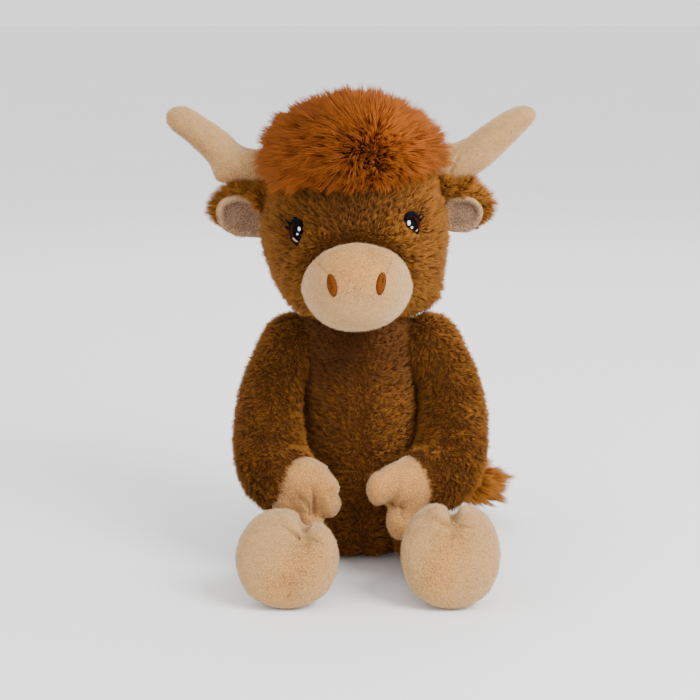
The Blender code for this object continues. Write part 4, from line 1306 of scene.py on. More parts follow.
@dataclass
class Head:
    """The head of short plush, with the muzzle, the embroidery and the forelock on it."""

    stuffing: Stuffing = Stuffing(voxel=4.8 * MM, cap=2.0 * MM)
    swelling: float = 2.8 * MM
    jowl_pushes: tuple[float, ...] = (-2.0 * MM, 9.5 * MM, 4.0 * MM)
    jowl_radius: float = 19 * MM
    jowl_px: tuple[Pixel, ...] = ((297, 303), (424, 300), (272, 267))
    dart_px: tuple[Pixel, ...] = ((299, 247), (285, 269), (283, 282), (291, 301))
    jowl_drop: float = 0.35
    nose_depth: float = 0.8
    dart_width: float = 3.0 * MM
    dart_depth: float = 2.4 * MM
    # Painted shade on the brow, under the forelock.
    brow_px: Pixel = (354, 201)
    brow_radius: float = 30 * MM
    brow_painted_shade: float = -0.52
    muzzle_lean: float = -8.0
    lean_gain: float = 50.0
    lean_reach: float = 9 * MM
    eye_trim: float = 0.42
    eye_reach: Span = (1 * MM, 7 * MM)
    dart_trim: float = 0.6
    dart_reach: float = 4 * MM
    eye_gap: float = 0.9 * MM
    muzzle_gap: float = 0.8 * MM
    sewing_gap: float = 2.2 * MM
    torso_gap: float = 3.0 * MM
    nodes: tuple[str, ...] = ("head_cover", "head_filling")

    def flow(self, points: Points) -> Points:
        """Return the nap, which runs outwards from the nose."""
        low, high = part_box("muzzle_cover")
        middle = (low + high) / 2
        return points - np.array([middle.x, middle.y * self.nose_depth, middle.z])

    def build(self, eyes: Sequence["Eye"]) -> bpy.types.Object:
        """Make the stuffed cover and its pile, and return the cover.

        Args:
            eyes: The eyes, which the pile leaves free.

        Returns:
            The cover.
        """
        ground = self.stuffing.form("head_plush", self.nodes)
        swell(ground, self.swelling)
        tree = surface_tree(ground)
        for spot, push in zip(self.jowl_px, self.jowl_pushes):
            middle, _ = SIGHT.on(tree, spot)
            bulge(ground, middle, self.jowl_radius, (push, 0, -self.jowl_drop * abs(push)))
        dart = SIGHT.line(surface_tree(ground), self.dart_px)
        groove(ground, dart, self.dart_width, self.dart_depth)
        refine(ground)
        dress(ground, HEAD_PILE.ground_material(), Slot.HEAD, "head", *self.nodes)
        tree = surface_tree(ground)
        for eye in eyes:
            eye.build(tree)
        self._grow(ground, tree, [SIGHT.line(tree, eye.body_px + eye.body_px[:1]) for eye in eyes])
        return ground

    def _grow(self, ground: bpy.types.Object, tree: BVHTree, rims: Sequence[list[Vector]]) -> None:
        """Grow the pile on the cover, whose surface is given as a tree, outside the eyes' rims."""
        sewn = away_from(cad("neck_seam_thread", "forelock"), self.sewing_gap)
        torso = away_from(cad("torso_cover"), self.torso_gap)
        muzzle = surface_tree(cad("muzzle_cover")[0])
        middles = [np.array(sum(rim[:-1], Vector()) / (len(rim) - 1)) for rim in rims]
        dart = SIGHT.line(tree, self.dart_px)
        brow = np.array(SIGHT.on(tree, self.brow_px)[0])

        def from_eyes(points: Points) -> Points:
            """Return how far each point lies outside the nearest eye, below 0 inside it."""
            gap = np.full(len(points), np.inf)
            for rim, middle in zip(rims, middles):
                inward = np.linalg.norm(np.array(rim) - middle, axis=1).min()
                inside = np.linalg.norm(points - middle, axis=1) < inward
                gap = np.minimum(gap, np.where(inside, -1 * MM, line_distance(points, rim)))
            return gap

        def from_muzzle(points: Points) -> Points:
            """Return how far each point lies from the muzzle."""
            return np.array([muzzle.find_nearest(Vector(point))[3] for point in points])

        def keep(points: Points) -> Points:
            """Return where the head has pile."""
            clear = (from_eyes(points) > self.eye_gap) * (from_muzzle(points) > self.muzzle_gap)
            return sewn(points) * torso(points) * clear

        def lean(points: Points) -> Points:
            """Return the lean, upright beside the muzzle."""
            away = smooth_share(from_muzzle(points), 0, self.lean_reach)
            return np.radians(self.muzzle_lean + self.lean_gain * away)

        def shorten(points: Points) -> Points:
            """Return the pile's length as a share: short round the eyes and along the dart."""
            round_eyes = at_least(self.eye_trim, from_eyes(points), *self.eye_reach)
            at_dart = at_least(self.dart_trim, line_distance(points, dart), 0, self.dart_reach)
            return round_eyes * at_dart

        def shade(points: Points) -> Points:
            """Return painted shade on the brow, under the forelock."""
            return self.brow_painted_shade * bell(np.linalg.norm(points - brow, axis=1), self.brow_radius)

        Pile("head_pile", HEAD_PILE, self.flow, seed=21, length=7.0 * MM, length_field=shorten,
             lean_field=lean, tone_and_shade_field=shade, pull=0.27, ruffle=0.38).grow(
            ground, Slot.HEAD, "head", keep)


def smooth_outline(spots: Sequence[Pixel], count: int) -> Points:
    """Return a closed outline through pixels, rounded by Catmull-Rom curves."""
    outline = []
    for step in range(count):
        place = step * len(spots) / count
        index = int(place)
        t = place - index
        p = [np.array(spots[(index + k) % len(spots)], float) for k in (-1, 0, 1, 2)]
        outline.append(0.5 * (2 * p[1] + (p[2] - p[0]) * t
                              + (2 * p[0] - 5 * p[1] + 4 * p[2] - p[3]) * t ** 2
                              + (3 * p[1] - p[0] - 3 * p[2] + p[3]) * t ** 3))
    return np.array(outline)


def ellipse(middle: Pixel, width: float, height: float, turn: float = 0.0) -> tuple[Pixel, ...]:
    """Return the pixels of an ellipse of a width and a height, turned clockwise."""
    spots = []
    for step in range(12):
        angle = math.tau * step / 12
        x, y = width / 2 * math.cos(angle), height / 2 * math.sin(angle)
        spots.append((middle[0] + x * math.cos(turn) - y * math.sin(turn),
                      middle[1] + x * math.sin(turn) + y * math.cos(turn)))
    return tuple(spots)


def stroke_outline(spots: Sequence[Pixel], widths: Sequence[float]) -> tuple[Pixel, ...]:
    """Return the closed outline of a brush stroke through pixels.

    Args:
        spots: The stroke's middle line.
        widths: Its width at each of them.

    Returns:
        The outline, along one side and back along the other.
    """
    line = np.array(spots, float)
    ahead = np.gradient(line, axis=0)
    across = unit(np.stack([-ahead[:, 1], ahead[:, 0]], 1)) * np.array(widths)[:, None] / 2
    return tuple(map(tuple, np.concatenate([line + across, (line - across)[::-1]])))


def flip(piece: bpy.types.Object) -> None:
    """Turn an open sheet over."""
    make_active(piece)
    bpy.ops.object.mode_set(mode="EDIT")
    bpy.ops.mesh.select_all(action="SELECT")
    bpy.ops.mesh.flip_normals()
    bpy.ops.object.mode_set(mode="OBJECT")


@dataclass(frozen=True)
class Disc:
    """A flat disc of faces in rings, whose rim can be drawn out to an outline of pixels."""

    corners: int = 40
    rings: int = 4
    inset: float = 0.9

    def model(self, name: str) -> bpy.types.Object:
        """Model the disc, with a radius of 1."""
        deselect_all()
        bpy.ops.mesh.primitive_circle_add(vertices=self.corners, radius=1, fill_type="NGON")
        piece = bpy.context.active_object
        piece.name = name
        bpy.ops.object.mode_set(mode="EDIT")
        for _ in range(self.rings - 1):
            bpy.ops.mesh.inset(thickness=self.inset / self.rings)
        bpy.ops.mesh.poke()
        bpy.ops.object.mode_set(mode="OBJECT")
        return piece

    def spread(self, piece: bpy.types.Object,
               outline_px: Sequence[Pixel]) -> tuple[Points, Points, Points]:
        """Place the disc's points between the middle and the rim of an outline.

        Args:
            piece: The disc as modelled.
            outline_px: The outline's pixels.

        Returns:
            For each point, its share of the way to the rim, its pixel and the way to the rim.
        """
        outline = smooth_outline(outline_px, self.corners)
        middle = outline.mean(0)
        flat = read_points(piece.data)
        reach = np.minimum(np.linalg.norm(flat[:, :2], axis=1), 1)
        places = (np.arctan2(flat[:, 1], flat[:, 0]) % math.tau) / math.tau * self.corners
        low = places.astype(int)
        share = (places - low)[:, None]
        edge = outline[low % self.corners] * (1 - share) + outline[(low + 1) % self.corners] * share
        return reach, middle + (edge - middle) * reach[:, None], unit(edge - middle)


@dataclass
class Patch:
    """A patch of embroidery that lies on a surface and is domed by its padding."""

    name: str
    outline_px: Sequence[Pixel]
    thread: ThreadFinish
    lift: float = 0.5 * MM
    dome: float = 0.5 * MM
    thickness: float = 0.8 * MM
    disc: Disc = Disc()

    def build(self, tree: BVHTree, slot: Slot, *nodes: str) -> None:
        """Model the patch on a surface.

        Args:
            tree: The surface.
            slot: The record's slot.
            nodes: CAD nodes that it stands for.
        """
        piece = self.disc.model(self.name)
        reach, spots, _ = self.disc.spread(piece, self.outline_px)
        laid = np.empty((len(spots), 3))
        for index, spot in enumerate(spots):
            point, normal = SIGHT.on(tree, tuple(spot))
            laid[index] = point + normal * (self.lift + self.dome * math.sqrt(1 - reach[index] ** 2))
        write_points(piece.data, laid)
        set_attribute(piece.data, "thread", Waves(1.3 * MM, 5).at(laid) * 0.4 + 0.5)
        if sum(face.normal.dot(SIGHT.place - face.center) for face in piece.data.polygons) < 0:
            flip(piece)
        apply_modifier(piece, "SOLIDIFY", thickness=self.thickness, offset=-1)
        piece.data.shade_smooth()
        dress(piece, self.thread.material(), slot, "head", *nodes)


@dataclass
class Eye:
    """One embroidered eye: a black almond with a lid, an iris, highlights and lashes."""

    side: Side
    body_px: tuple[Pixel, ...]
    lid_px: tuple[Pixel, ...]
    lid_width_px: tuple[float, ...]
    iris_px: tuple[Pixel, ...]
    iris_width_px: tuple[float, ...]
    glints_px: tuple[tuple[Pixel, float, float], ...]
    cream_px: tuple[Pixel, ...]
    cream_width_px: tuple[float, ...]
    lashes_px: tuple[tuple[Pixel, ...], ...]
    black_lift: float = 0.9 * MM
    stroke_lift: float = 1.6 * MM
    glint_lift: float = 1.9 * MM

    def build(self, tree: BVHTree) -> None:
        """Embroider the eye on the head's cover."""
        name = self.side.value
        Patch(f"eye_{name}_black", self.body_px, BLACK_THREAD, self.black_lift, 0.7 * MM, 1.8 * MM,
              Disc(56)).build(tree, Slot.EYE, f"eye_{name}")
        strokes = [("lid", self.lid_px, self.lid_width_px, LID_THREAD, 0.35 * MM),
                   ("iris", self.iris_px, self.iris_width_px, IRIS_THREAD, 0.3 * MM),
                   ("crescent", self.cream_px, self.cream_width_px, CREAM_THREAD, 0.3 * MM)]
        for part, spots, widths, thread, dome in strokes:
            Patch(f"eye_{name}_{part}", stroke_outline(spots, widths), thread, self.stroke_lift,
                  dome, disc=Disc(rings=3)).build(tree, Slot.EYE)
        for number, (middle, width, height) in enumerate(self.glints_px, 1):
            Patch(f"eye_{name}_highlight_{number}", ellipse(middle, width, height), WHITE_THREAD,
                  self.glint_lift, 0.4 * MM, disc=Disc(24, 3)).build(tree, Slot.EYE)
        for number, lash in enumerate(self.lashes_px, 1):
            outline = stroke_outline(lash, np.linspace(2.2, 0.5, len(lash)))
            Patch(f"eye_{name}_lash_{number}", outline, BLACK_THREAD, self.stroke_lift, 0.4 * MM,
                  1.2 * MM, Disc(24, 3)).build(tree, Slot.EYE)


@dataclass
class Nostril:
    """One nostril of satin stitches that lie across it."""

    side: Side
    middle_px: Pixel
    width_px: float
    height_px: float
    turn: float
    rim_px: float = 1.6

    def build(self, tree: BVHTree) -> None:
        """Embroider the nostril on the muzzle."""
        name = f"nostril_{self.side.value}"
        rim = ellipse(self.middle_px, self.width_px + self.rim_px, self.height_px + self.rim_px,
                      self.turn)
        Patch(f"{name}_rim", rim, DARK_RUST_THREAD, 0.1 * MM, 0.5 * MM, 0.9 * MM,
              Disc(48)).build(tree, Slot.NOSTRIL)
        satin = ellipse(self.middle_px, self.width_px, self.height_px, self.turn)
        Patch(f"{name}_satin", satin, RUST_THREAD, 0.3 * MM, 1.1 * MM, 1.2 * MM,
              Disc(48, 6)).build(tree, Slot.NOSTRIL, name)


@dataclass
class Muzzle:
    """The velour muzzle: a peach middle panel, paler side panels, a chin seam and painted shade below.
    """

    stuffing: Stuffing = Stuffing(voxel=2.2 * MM, cap=1.6 * MM, relax=10, fill=0.85)
    swelling: float = 1.5 * MM
    moves_px: Moves = (
        ((315, 254), (321, 257)), ((398, 251), (394, 254)), ((356, 243), (354, 243)),
        ((334, 242), (335, 247)), ((380, 242), (379, 247)), ((304, 290), (302, 291)),
        ((410, 290), (412, 291)))
    move_radius: float = 9 * MM
    seam_width: float = 0.9 * MM
    seam_depth: float = 0.8 * MM
    left_seam_px: tuple[Pixel, ...] = ((310, 257), (319, 265), (328, 276), (332, 288))
    right_seam_px: tuple[Pixel, ...] = ((394, 246), (390, 261), (386, 273), (381, 286))
    chin_seam_px: tuple[Pixel, ...] = ((332, 322), (345, 325), (361, 326), (377, 325), (390, 321))
    # Below these heights the greyer pale colour is painted shade under the muzzle.
    grey_shade_height: Span = (190 * MM, 228 * MM)
    side_share: float = 0.8
    pale_gain: float = 1.1
    pale_base: float = 0.15
    nodes: tuple[str, ...] = ("muzzle_cover", "muzzle_filling")

    def build(self, nostrils: Sequence[Nostril]) -> None:
        """Make the muzzle with its seams, and embroider the nostrils on it."""
        piece = self.stuffing.form("muzzle_velour", self.nodes)
        swell(piece, self.swelling)
        warp(piece, self.moves_px, self.move_radius)
        tree = surface_tree(piece)
        refine(piece)
        seams = [SIGHT.line(tree, line) for line in
                 (self.left_seam_px, self.right_seam_px, self.chin_seam_px)]
        # The seams' grooves paint shade into them.
        for seam in seams:
            groove(piece, seam, self.seam_width, self.seam_depth, cuts=2)
        # The pale attribute: the side panels' own paler velour, and painted shade in the greyer pale
        # colour on the lower part.
        points = read_points(piece.data)
        side = np.zeros(len(points))
        for seam, sign in zip(seams[:2], (-1, 1)):
            edge = np.interp(-points[:, 2], [-p.z for p in seam], [p.x for p in seam])
            side = np.maximum(side, smooth_share(sign * (points[:, 0] - edge), -1 * MM, 3 * MM))
        low = 1 - smooth_share(points[:, 2], *self.grey_shade_height)
        pale = np.maximum(side * self.side_share, low) * self.pale_gain - self.pale_base
        set_attribute(piece.data, "pale", pale)
        dress(piece, VELOUR.material(), Slot.VELOUR, "head", *self.nodes)
        fuzz("muzzle_nap", piece, "head", outward(sum(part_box("muzzle_cover"), Vector()) / 2), None,
             density=0.6, seed=89)
        tree = surface_tree(piece)
        for nostril in nostrils:
            nostril.build(tree)


@dataclass
class Horn:
    """One velour horn with soft wrinkles at its root and painted shade on its underside."""

    side: Side
    wrinkles_px: tuple[tuple[Pixel, ...], ...]
    moves_px: Moves
    shade: float
    stuffing: Stuffing = Stuffing(voxel=2.2 * MM, cap=1.2 * MM, relax=8, fill=0.8)
    move_radius: float = 9 * MM
    wrinkle_width: float = 1.3 * MM
    wrinkle_depth: float = 1.6 * MM
    paleness: float = 0.85
    under_span: Span = (-0.3, 0.8)

    def build(self) -> None:
        """Make the horn."""
        name = f"horn_{self.side.value}"
        nodes = (f"{name}_cover", f"{name}_filling")
        piece = self.stuffing.form(f"{name}_velour", nodes)
        warp(piece, self.moves_px, self.move_radius)
        refine(piece)
        tree = surface_tree(piece)
        # The wrinkles' grooves paint shade into them.
        for wrinkle in self.wrinkles_px:
            groove(piece, SIGHT.line(tree, wrinkle), self.wrinkle_width, self.wrinkle_depth,
                   taper=True, cuts=1)
        # Painted shade on the underside, which also makes it less pale.
        under = self.shade * smooth_share(-read_normals(piece.data)[:, 2], *self.under_span)
        add_fold_shade(piece, under)
        set_attribute(piece.data, "pale", self.paleness - under)
        dress(piece, VELOUR.material(), Slot.VELOUR, "head", *nodes)
        fuzz(f"{name}_nap", piece, "head", steady(self.side.sign, -0.2, -0.5), None,
             density=1.1, seed=93 + self.side.sign)


@dataclass
class Ear:
    """One flat ear: plush behind and round its edge, folded at its root, velour in front."""

    side: Side
    folds: tuple[Lump, ...]
    lining_px: tuple[Pixel, ...]
    stuffing: Stuffing = Stuffing(voxel=1.8 * MM, cap=0.8 * MM, relax=6, fill=0.4)
    swelling: float = 1.0 * MM
    rim_rise: float = 5.0 * MM
    rim_place: float = 0.82
    rim_width: float = 0.15
    fold_place: float = 0.60
    fold_width: float = 0.12
    face_depth: float = -3.4 * MM
    thickness: float = 1.4 * MM
    lining_gap: float = 1.2 * MM
    head_gap: float = 1.0 * MM
    edge_trim: float = 0.42
    edge_span: Span = (2 * MM, 13 * MM)
    top_way: Span = (0.55, -0.85)
    # How dark the painted shade is under the rolled rim and deep in the dish.
    fold_shades: Span = (0.8, 0.42)
    deep_span: Span = (0.45, 0.80)
    pale_span: Span = (0.62, 0.80)
    pale_gain: float = 1.2
    pale_base: float = 0.2
    disc: Disc = Disc(48, 7, 0.94)

    def build(self) -> None:
        """Make the ear's back with its fold, its lining and its pile."""
        body = f"ear_{self.side.value}"
        outer = f"{body}_outer"
        ground = self.stuffing.form(f"{body}_plush", (outer,),
                                    extras=[fold.ball() for fold in self.folds])
        swell(ground, self.swelling)
        refine(ground)
        dress(ground, HEAD_PILE.ground_material(), Slot.HEAD, body, outer)
        clear = away_from([self._lining(body)], self.lining_gap)
        head = away_from(cad("head_cover"), self.head_gap)
        low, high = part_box(outer)
        root = np.array([low.x if self.side is Side.LEFT else high.x, 0.0, (low.z + high.z) / 2])

        def keep(points: Points) -> Points:
            """Return where the ear has pile: not under its lining nor in the head."""
            return clear(points) * head(points)

        def flow(points: Points) -> Points:
            """Return the nap, which runs from the root to the edge."""
            return (points - root) * np.array([1.0, 0.3, 1.2])

        def shorten(points: Points) -> Points:
            """Return the pile's length as a share, short along the ear's lower edge."""
            return at_least(self.edge_trim, points[:, 2] - low.z, *self.edge_span)

        Pile(f"{body}_pile", HEAD_PILE, flow, seed=31 + self.side.sign, length=8.0 * MM,
             width=0.5 * MM, length_field=shorten, pull=0.22, tuft_turn=0.14, ruffle=0.16,
             tone_and_shade_field=lambda points: np.full(len(points), 0.12), tuft=2.2 * MM,
             lean=math.radians(40), density=3.4).grow(ground, Slot.HEAD, body, keep)

    def _lining(self, body: str) -> bpy.types.Object:
        """Make the lining, a shallow dish with a rolled rim in painted light and shade; return it."""
        lining = self.disc.model(f"{body}_velour")
        reach, spots, ways = self.disc.spread(lining, self.lining_px)
        out, up = self.top_way
        top = np.maximum(ways @ unit(np.array([self.side.sign * out, up])), 0)
        rises = self.rim_rise * bell(reach - self.rim_place, self.rim_width) * (0.22 + 0.78 * top)
        laid = [SIGHT.at_depth(tuple(spot), self.face_depth - rise)
                for spot, rise in zip(spots, rises)]
        write_points(lining.data, np.array(laid))
        if sum(face.normal.y for face in lining.data.polygons) > 0:
            flip(lining)
        # Painted shade under the rolled rim and deep in the dish; painted light on the rim, most at
        # the top.
        rim_shade = bell(reach - self.fold_place, self.fold_width) * (0.15 + 0.85 * top)
        deep = 1 - smooth_share(reach, *self.deep_span)
        pale = smooth_share(reach, *self.pale_span) * (0.25 + 0.75 * top)
        folds = rim_shade * self.fold_shades[0] + deep * self.fold_shades[1]
        set_attribute(lining.data, "fold", np.clip(folds, 0, 1))
        set_attribute(lining.data, "pale", pale * self.pale_gain - self.pale_base)
        apply_modifier(lining, "SOLIDIFY", thickness=self.thickness, offset=-1)
        refine(lining)
        return dress(lining, LINING_VELOUR.material(), Slot.VELOUR, body, f"{body}_lining")


@dataclass
class Forelock:
    """The panel of long rust-orange pile on the crown."""

    core_share: float = 0.42
    core_least: float = 0.6 * MM
    core_voxel: float = 2.5 * MM
    core_relax: int = 8
    rim_depth: float = 2.5 * MM
    reach_share: float = 0.66
    least: float = 13 * MM
    width: float = 0.64 * MM
    apex: tuple[float, float, float] = (-8 * MM, 8 * MM, 330 * MM)
    whorl_px: Pixel = (376, 150)
    whorl_reach: Span = (-6 * MM, 44 * MM)
    # Painted light on the strands at the whorl, which point at the camera.
    whorl_light: float = 0.30
    whorl_radius: float = 22 * MM
    parting: tuple[float, float, float] = (0.0, 3 * MM, 9 * MM)
    behind: Span = (0.0, 32 * MM)
    crown: Span = (308 * MM, 326 * MM)
    crown_trim: float = 0.26
    front_edge: float = 10 * MM
    front_depth: float = 46 * MM
    least_lean: float = 8.0
    front_lean: float = 50.0
    behind_lean: float = 28.0
    tilt_gain: float = 0.8
    trimmed: float = 0.5
    fringe_px: tuple[Pixel, ...] = ((262, 180), (291, 192), (309, 194), (325, 187), (355, 183),
                                    (390, 180), (412, 174), (432, 160))

    def build(self, head: bpy.types.Object) -> None:
        """Make the panel and its pile on the head's cover."""
        panel = node_copy("forelock_panel", ("forelock",))
        remesh(panel, self.core_voxel, self.core_relax)
        ground = surface_tree(head)
        points = read_points(panel.data)
        depths = np.zeros(len(points))
        for index, point in enumerate(points):
            near, normal, _, gap = ground.find_nearest(Vector(point))
            outside = (Vector(point) - near).dot(normal) > 0
            depths[index] = gap if outside else 0
            rise = max(self.core_least, gap * self.core_share) if outside else -1.0 * MM
            points[index] = near + normal * rise
        write_points(panel.data, points)
        panel.data.shade_smooth()
        dress(panel, LONG_PILE.ground_material(), Slot.LONG, "head", "forelock")
        nearest = nearest_of(points)
        apex = np.array(self.apex)
        whorl = np.array(SIGHT.on(ground, self.whorl_px)[0])
        fringe = np.array(SIGHT.line(ground, self.fringe_px))

        def painted_whorl_light(roots: Points) -> Points:
            """Return painted light on the strands at the whorl, which point at the camera."""
            return self.whorl_light * bell(np.linalg.norm(roots - whorl, axis=1), self.whorl_radius)

        def flow(roots: Points) -> Points:
            """Return the way of the pile: out from a whorl in front, down behind the crown."""
            behind = smooth_share(roots[:, 1], *self.behind)[:, None]
            down = unit(roots - apex) * np.array([1.0, 1.0, 0.0]) + np.array([0.0, 0.0, -0.8])
            return unit(roots - whorl - np.array(self.parting)) * (1 - behind) + down * behind

        def ahead(roots: Points) -> Points:
            """Return 1 for roots on the front and 0 for those on the crown."""
            return np.clip((self.front_edge - roots[:, 1]) / self.front_depth, 0, 1)

        def lean(roots: Points) -> Points:
            """Return the lean: little at the whorl and on the crown, most on the front."""
            reach = smooth_share(np.linalg.norm(roots - whorl, axis=1), *self.whorl_reach)
            behind = smooth_share(roots[:, 1], *self.behind)
            front = self.front_lean * ahead(roots) * reach
            return np.radians(self.least_lean + front + self.behind_lean * behind)

        def length(roots: Points) -> Points:
            """Return each strand's length, trimmed where it would hang below the fringe."""
            tilt = np.sin(lean(roots))
            crown = smooth_share(roots[:, 2], *self.crown) * (1 - ahead(roots))
            full = np.maximum(depths[nearest(roots)] * self.reach_share, self.least)
            full = full * (1 + self.tilt_gain * tilt) * (1 - self.crown_trim * crown)
            drop = full * tilt * np.maximum(-flow(roots)[:, 2], 0.05)
            room = roots[:, 2] - np.interp(roots[:, 0], fringe[:, 0], fringe[:, 2])
            room = np.where(roots[:, 1] < 0, room, 1.0)
            return full * np.clip(room / drop, self.trimmed, 1)

        def keep(roots: Points) -> Points:
            """Return where the panel has pile: on its outer face."""
            return (depths[nearest(roots)] > self.rim_depth).astype(float)

        Pile("forelock_pile", LONG_PILE, flow, seed=41, length=1.0, width=self.width, density=1.65,
             lean_field=lean, length_field=length, tone_and_shade_field=painted_whorl_light, steps=2, tuft=2.9 * MM,
             pull=0.24, tuft_turn=0.14, uneven=0.26, jitter=0.13, ruffle=0.34, ruffle_size=20 * MM,
             droop=0.03, room=18000).grow(panel, Slot.LONG, "head", keep)


@dataclass
class Arm:
    """One arm of plush that ends in a cloven velour hoof."""

    side: Side
    lobes: tuple[Lump, ...]
    moves_px: Moves
    creases_px: tuple[Crease, ...]
    rims_px: tuple[tuple[Pixel, ...], ...]
    shade: float
    stuffing: Stuffing = Stuffing(voxel=3.4 * MM, cap=1.6 * MM, relax=4)
    laps: Span = (2.5 * MM, 2.0 * MM)
    swelling: float = 3.3 * MM
    move_radius: float = 7.0 * MM
    rim_width: float = 2.2 * MM
    hoof_voxel: float = 1.8 * MM
    # Painted shade near the wrist reaches this far, and the rims' paleness is painted sheen.
    shaded: float = 20 * MM
    rim_sheen: float = 0.9
    pile_lap: float = 5.5 * MM
    edge_width: float = 2.4 * MM
    nap_least: float = 0.12
    nap_fall: float = 0.35
    wrist_heights: Span = (-115 * MM, -70 * MM)
    hoof_trim: float = 0.85
    trim_reach: float = 6 * MM

    def build(self) -> None:
        """Make the arm's cover, its hoof and its pile."""
        name, sign = self.side.value, self.side.sign
        body, hoof_name = f"arm_{name}", f"hoof_{name}"
        nodes = (f"{body}_cover", f"{body}_filling", f"{hoof_name}_cover")
        middle, normal = contact_plane(nodes[2], nodes[0])
        wrist, ahead = np.array(middle), np.array(normal)
        whole, hoof = self.stuffing.form_sewn((f"{body}_plush", f"{hoof_name}_velour"), nodes,
                                              (middle, normal), self.laps)
        swell(whole, self.swelling)
        remould(hoof, self.lobes, (), self.hoof_voxel, 4)
        warp(hoof, self.moves_px, self.move_radius)
        for piece in (whole, hoof):
            refine(piece)
        tree = surface_tree(hoof)
        # Painted shade in the creases and near the wrist, and painted sheen along the rims.
        fold_along(hoof, tree, self.creases_px)
        rims = rim_share(hoof, self.rims_px, self.rim_width)
        set_attribute(hoof.data, "pale", rims * self.rim_sheen)
        seam_gap = (read_points(hoof.data) - wrist) @ ahead
        add_fold_shade(hoof, self.shade * (1 - smooth_share(seam_gap, 0, self.shaded)))
        dress_sewn(whole, hoof, body, nodes[:2], nodes[2:])
        edge = [point for line in self.rims_px for point in SIGHT.line(tree, line)]
        fuzz(f"{hoof_name}_nap", hoof, body, outward(middle),
             lambda spots: np.where(line_distance(spots, edge) < self.edge_width, 1, self.nap_least),
             density=3.2, seed=81 + sign)
        hoof_tree = surface_tree(hoof)

        def flow(points: Points) -> Points:
            """Return the nap, which runs down the arm and then towards the wrist."""
            down = np.array([self.nap_fall * sign, -0.1, -1.0])
            near = smooth_share(-points[:, 2], *self.wrist_heights)[:, None]
            return down * (1 - near) + unit(wrist - points) * near

        def keep(points: Points) -> Points:
            """Return where the arm has pile: up to a little past the wrist, not in the hoof."""
            return ((points - wrist) @ ahead < self.pile_lap) * beyond(hoof_tree, points)

        def shorten(points: Points) -> Points:
            """Return the pile's length as a share, a little short beside the hoof."""
            return at_least(self.hoof_trim, (wrist - points) @ ahead, 0, self.trim_reach)

        Pile(f"{body}_pile", BODY_PILE, flow, seed=51 + sign, length_field=shorten).grow(
            whole, Slot.BODY, body, keep)


@dataclass
class Leg:
    """One short leg of plush that ends in a velour foot with its sole."""

    side: Side
    cleft_px: tuple[Pixel, ...]
    creases_px: tuple[Crease, ...]
    moves_px: Moves
    lobes: tuple[Lump, ...]
    notch: tuple[Lump, ...]
    rim_px: tuple[Pixel, ...]
    stroke_px: tuple[Pixel, ...]
    stuffing: Stuffing = Stuffing(voxel=3.0 * MM, cap=1.6 * MM, relax=4)
    laps: Span = (0.0, 1.0 * MM)
    swelling: float = 1.6 * MM
    move_radius: float = 5.5 * MM
    foot_voxel: float = 2.3 * MM
    cover_edge: Span = (2 * MM, 14 * MM)
    foot_edge: Span = (1 * MM, 12 * MM)
    cleft_width: float = 1.6 * MM
    cleft_back: tuple[float, float, float] = (0, 18 * MM, -2 * MM)
    rim_width: float = 0.8 * MM
    rim_depth: float = 0.7 * MM
    stroke_radius: float = 15 * MM
    stroke_share: float = 0.75
    paleness: float = 0.80
    pile_lap: float = 1.6 * MM
    floor_gap: float = 1.0 * MM
    nap_gap: float = 3 * MM
    nap_least: float = 0.15
    nap_rim: Span = (0.80, 1.0)
    floor_trim: float = 0.3
    trim_height: float = 16 * MM

    def build(self) -> None:
        """Make the leg's cover, its foot and its pile."""
        name, sign = self.side.value, self.side.sign
        body = f"leg_{name}"
        nodes = (f"{body}_cover", f"{body}_filling", f"foot_{name}_cover", f"sole_{name}")
        middle, normal = contact_plane(nodes[2], nodes[0])
        ankle, ahead = np.array(middle), np.array(normal)
        whole, foot = self.stuffing.form_sewn((f"{body}_plush", f"foot_{name}_velour"), nodes,
                                              (middle, normal), self.laps)
        swell(whole, lambda spots: self.swelling * smooth_share(spots[:, 2], *self.cover_edge))
        swell(foot, lambda spots: self.swelling * smooth_share(spots[:, 2], *self.foot_edge))
        warp(foot, self.moves_px, self.move_radius)
        remould(foot, self.lobes, self.notch, self.foot_voxel, 3)
        for piece in (whole, foot):
            refine(piece)
        tree = surface_tree(foot)
        cleft = SIGHT.line(tree, self.cleft_px)
        back = cleft[0] + Vector(self.cleft_back)
        # The grooves paint shade into the cleft, the creases and the rim.
        groove(foot, [back, *cleft], self.cleft_width, self.cleft_width, cuts=1)
        fold_along(foot, tree, self.creases_px)
        groove(foot, SIGHT.line(tree, self.rim_px), self.rim_width, self.rim_depth, cuts=1)
        stroked = rim_share(foot, [self.stroke_px], self.stroke_radius)
        set_attribute(foot.data, "pale", self.paleness - self.stroke_share * stroked)
        dress_sewn(whole, foot, body, nodes[:2], nodes[2:])
        low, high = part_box(f"sole_{name}")
        heart, half = np.array((low + high) / 2), np.array((high - low) / 2)[[0, 2]]

        def at_rim(points: Points) -> Points:
            """Return where the nap is thick: round the sole's edge."""
            reach = np.linalg.norm((points - heart)[:, [0, 2]] / half, axis=1)
            return at_least(self.nap_least, reach, *self.nap_rim) * (points[:, 2] > self.nap_gap)

        def keep(points: Points) -> Points:
            """Return where the leg has pile: not under it nor past the ankle."""
            on_leg = (points - ankle) @ ahead < self.pile_lap
            return (on_leg & (points[:, 2] > self.floor_gap)).astype(float)

        def shorten(points: Points) -> Points:
            """Return the pile's length as a share, short near the floor."""
            return at_least(self.floor_trim, points[:, 2], 0, self.trim_height)

        fuzz(f"foot_{name}_nap", foot, body, outward(heart), at_rim, density=1.3,
             seed=85 + sign)
        Pile(f"{body}_pile", BODY_PILE, steady(0.1, -1.0, 0.35), seed=61 + sign,
             density=1.2, length_field=shorten).grow(whole, Slot.BODY, body, keep)


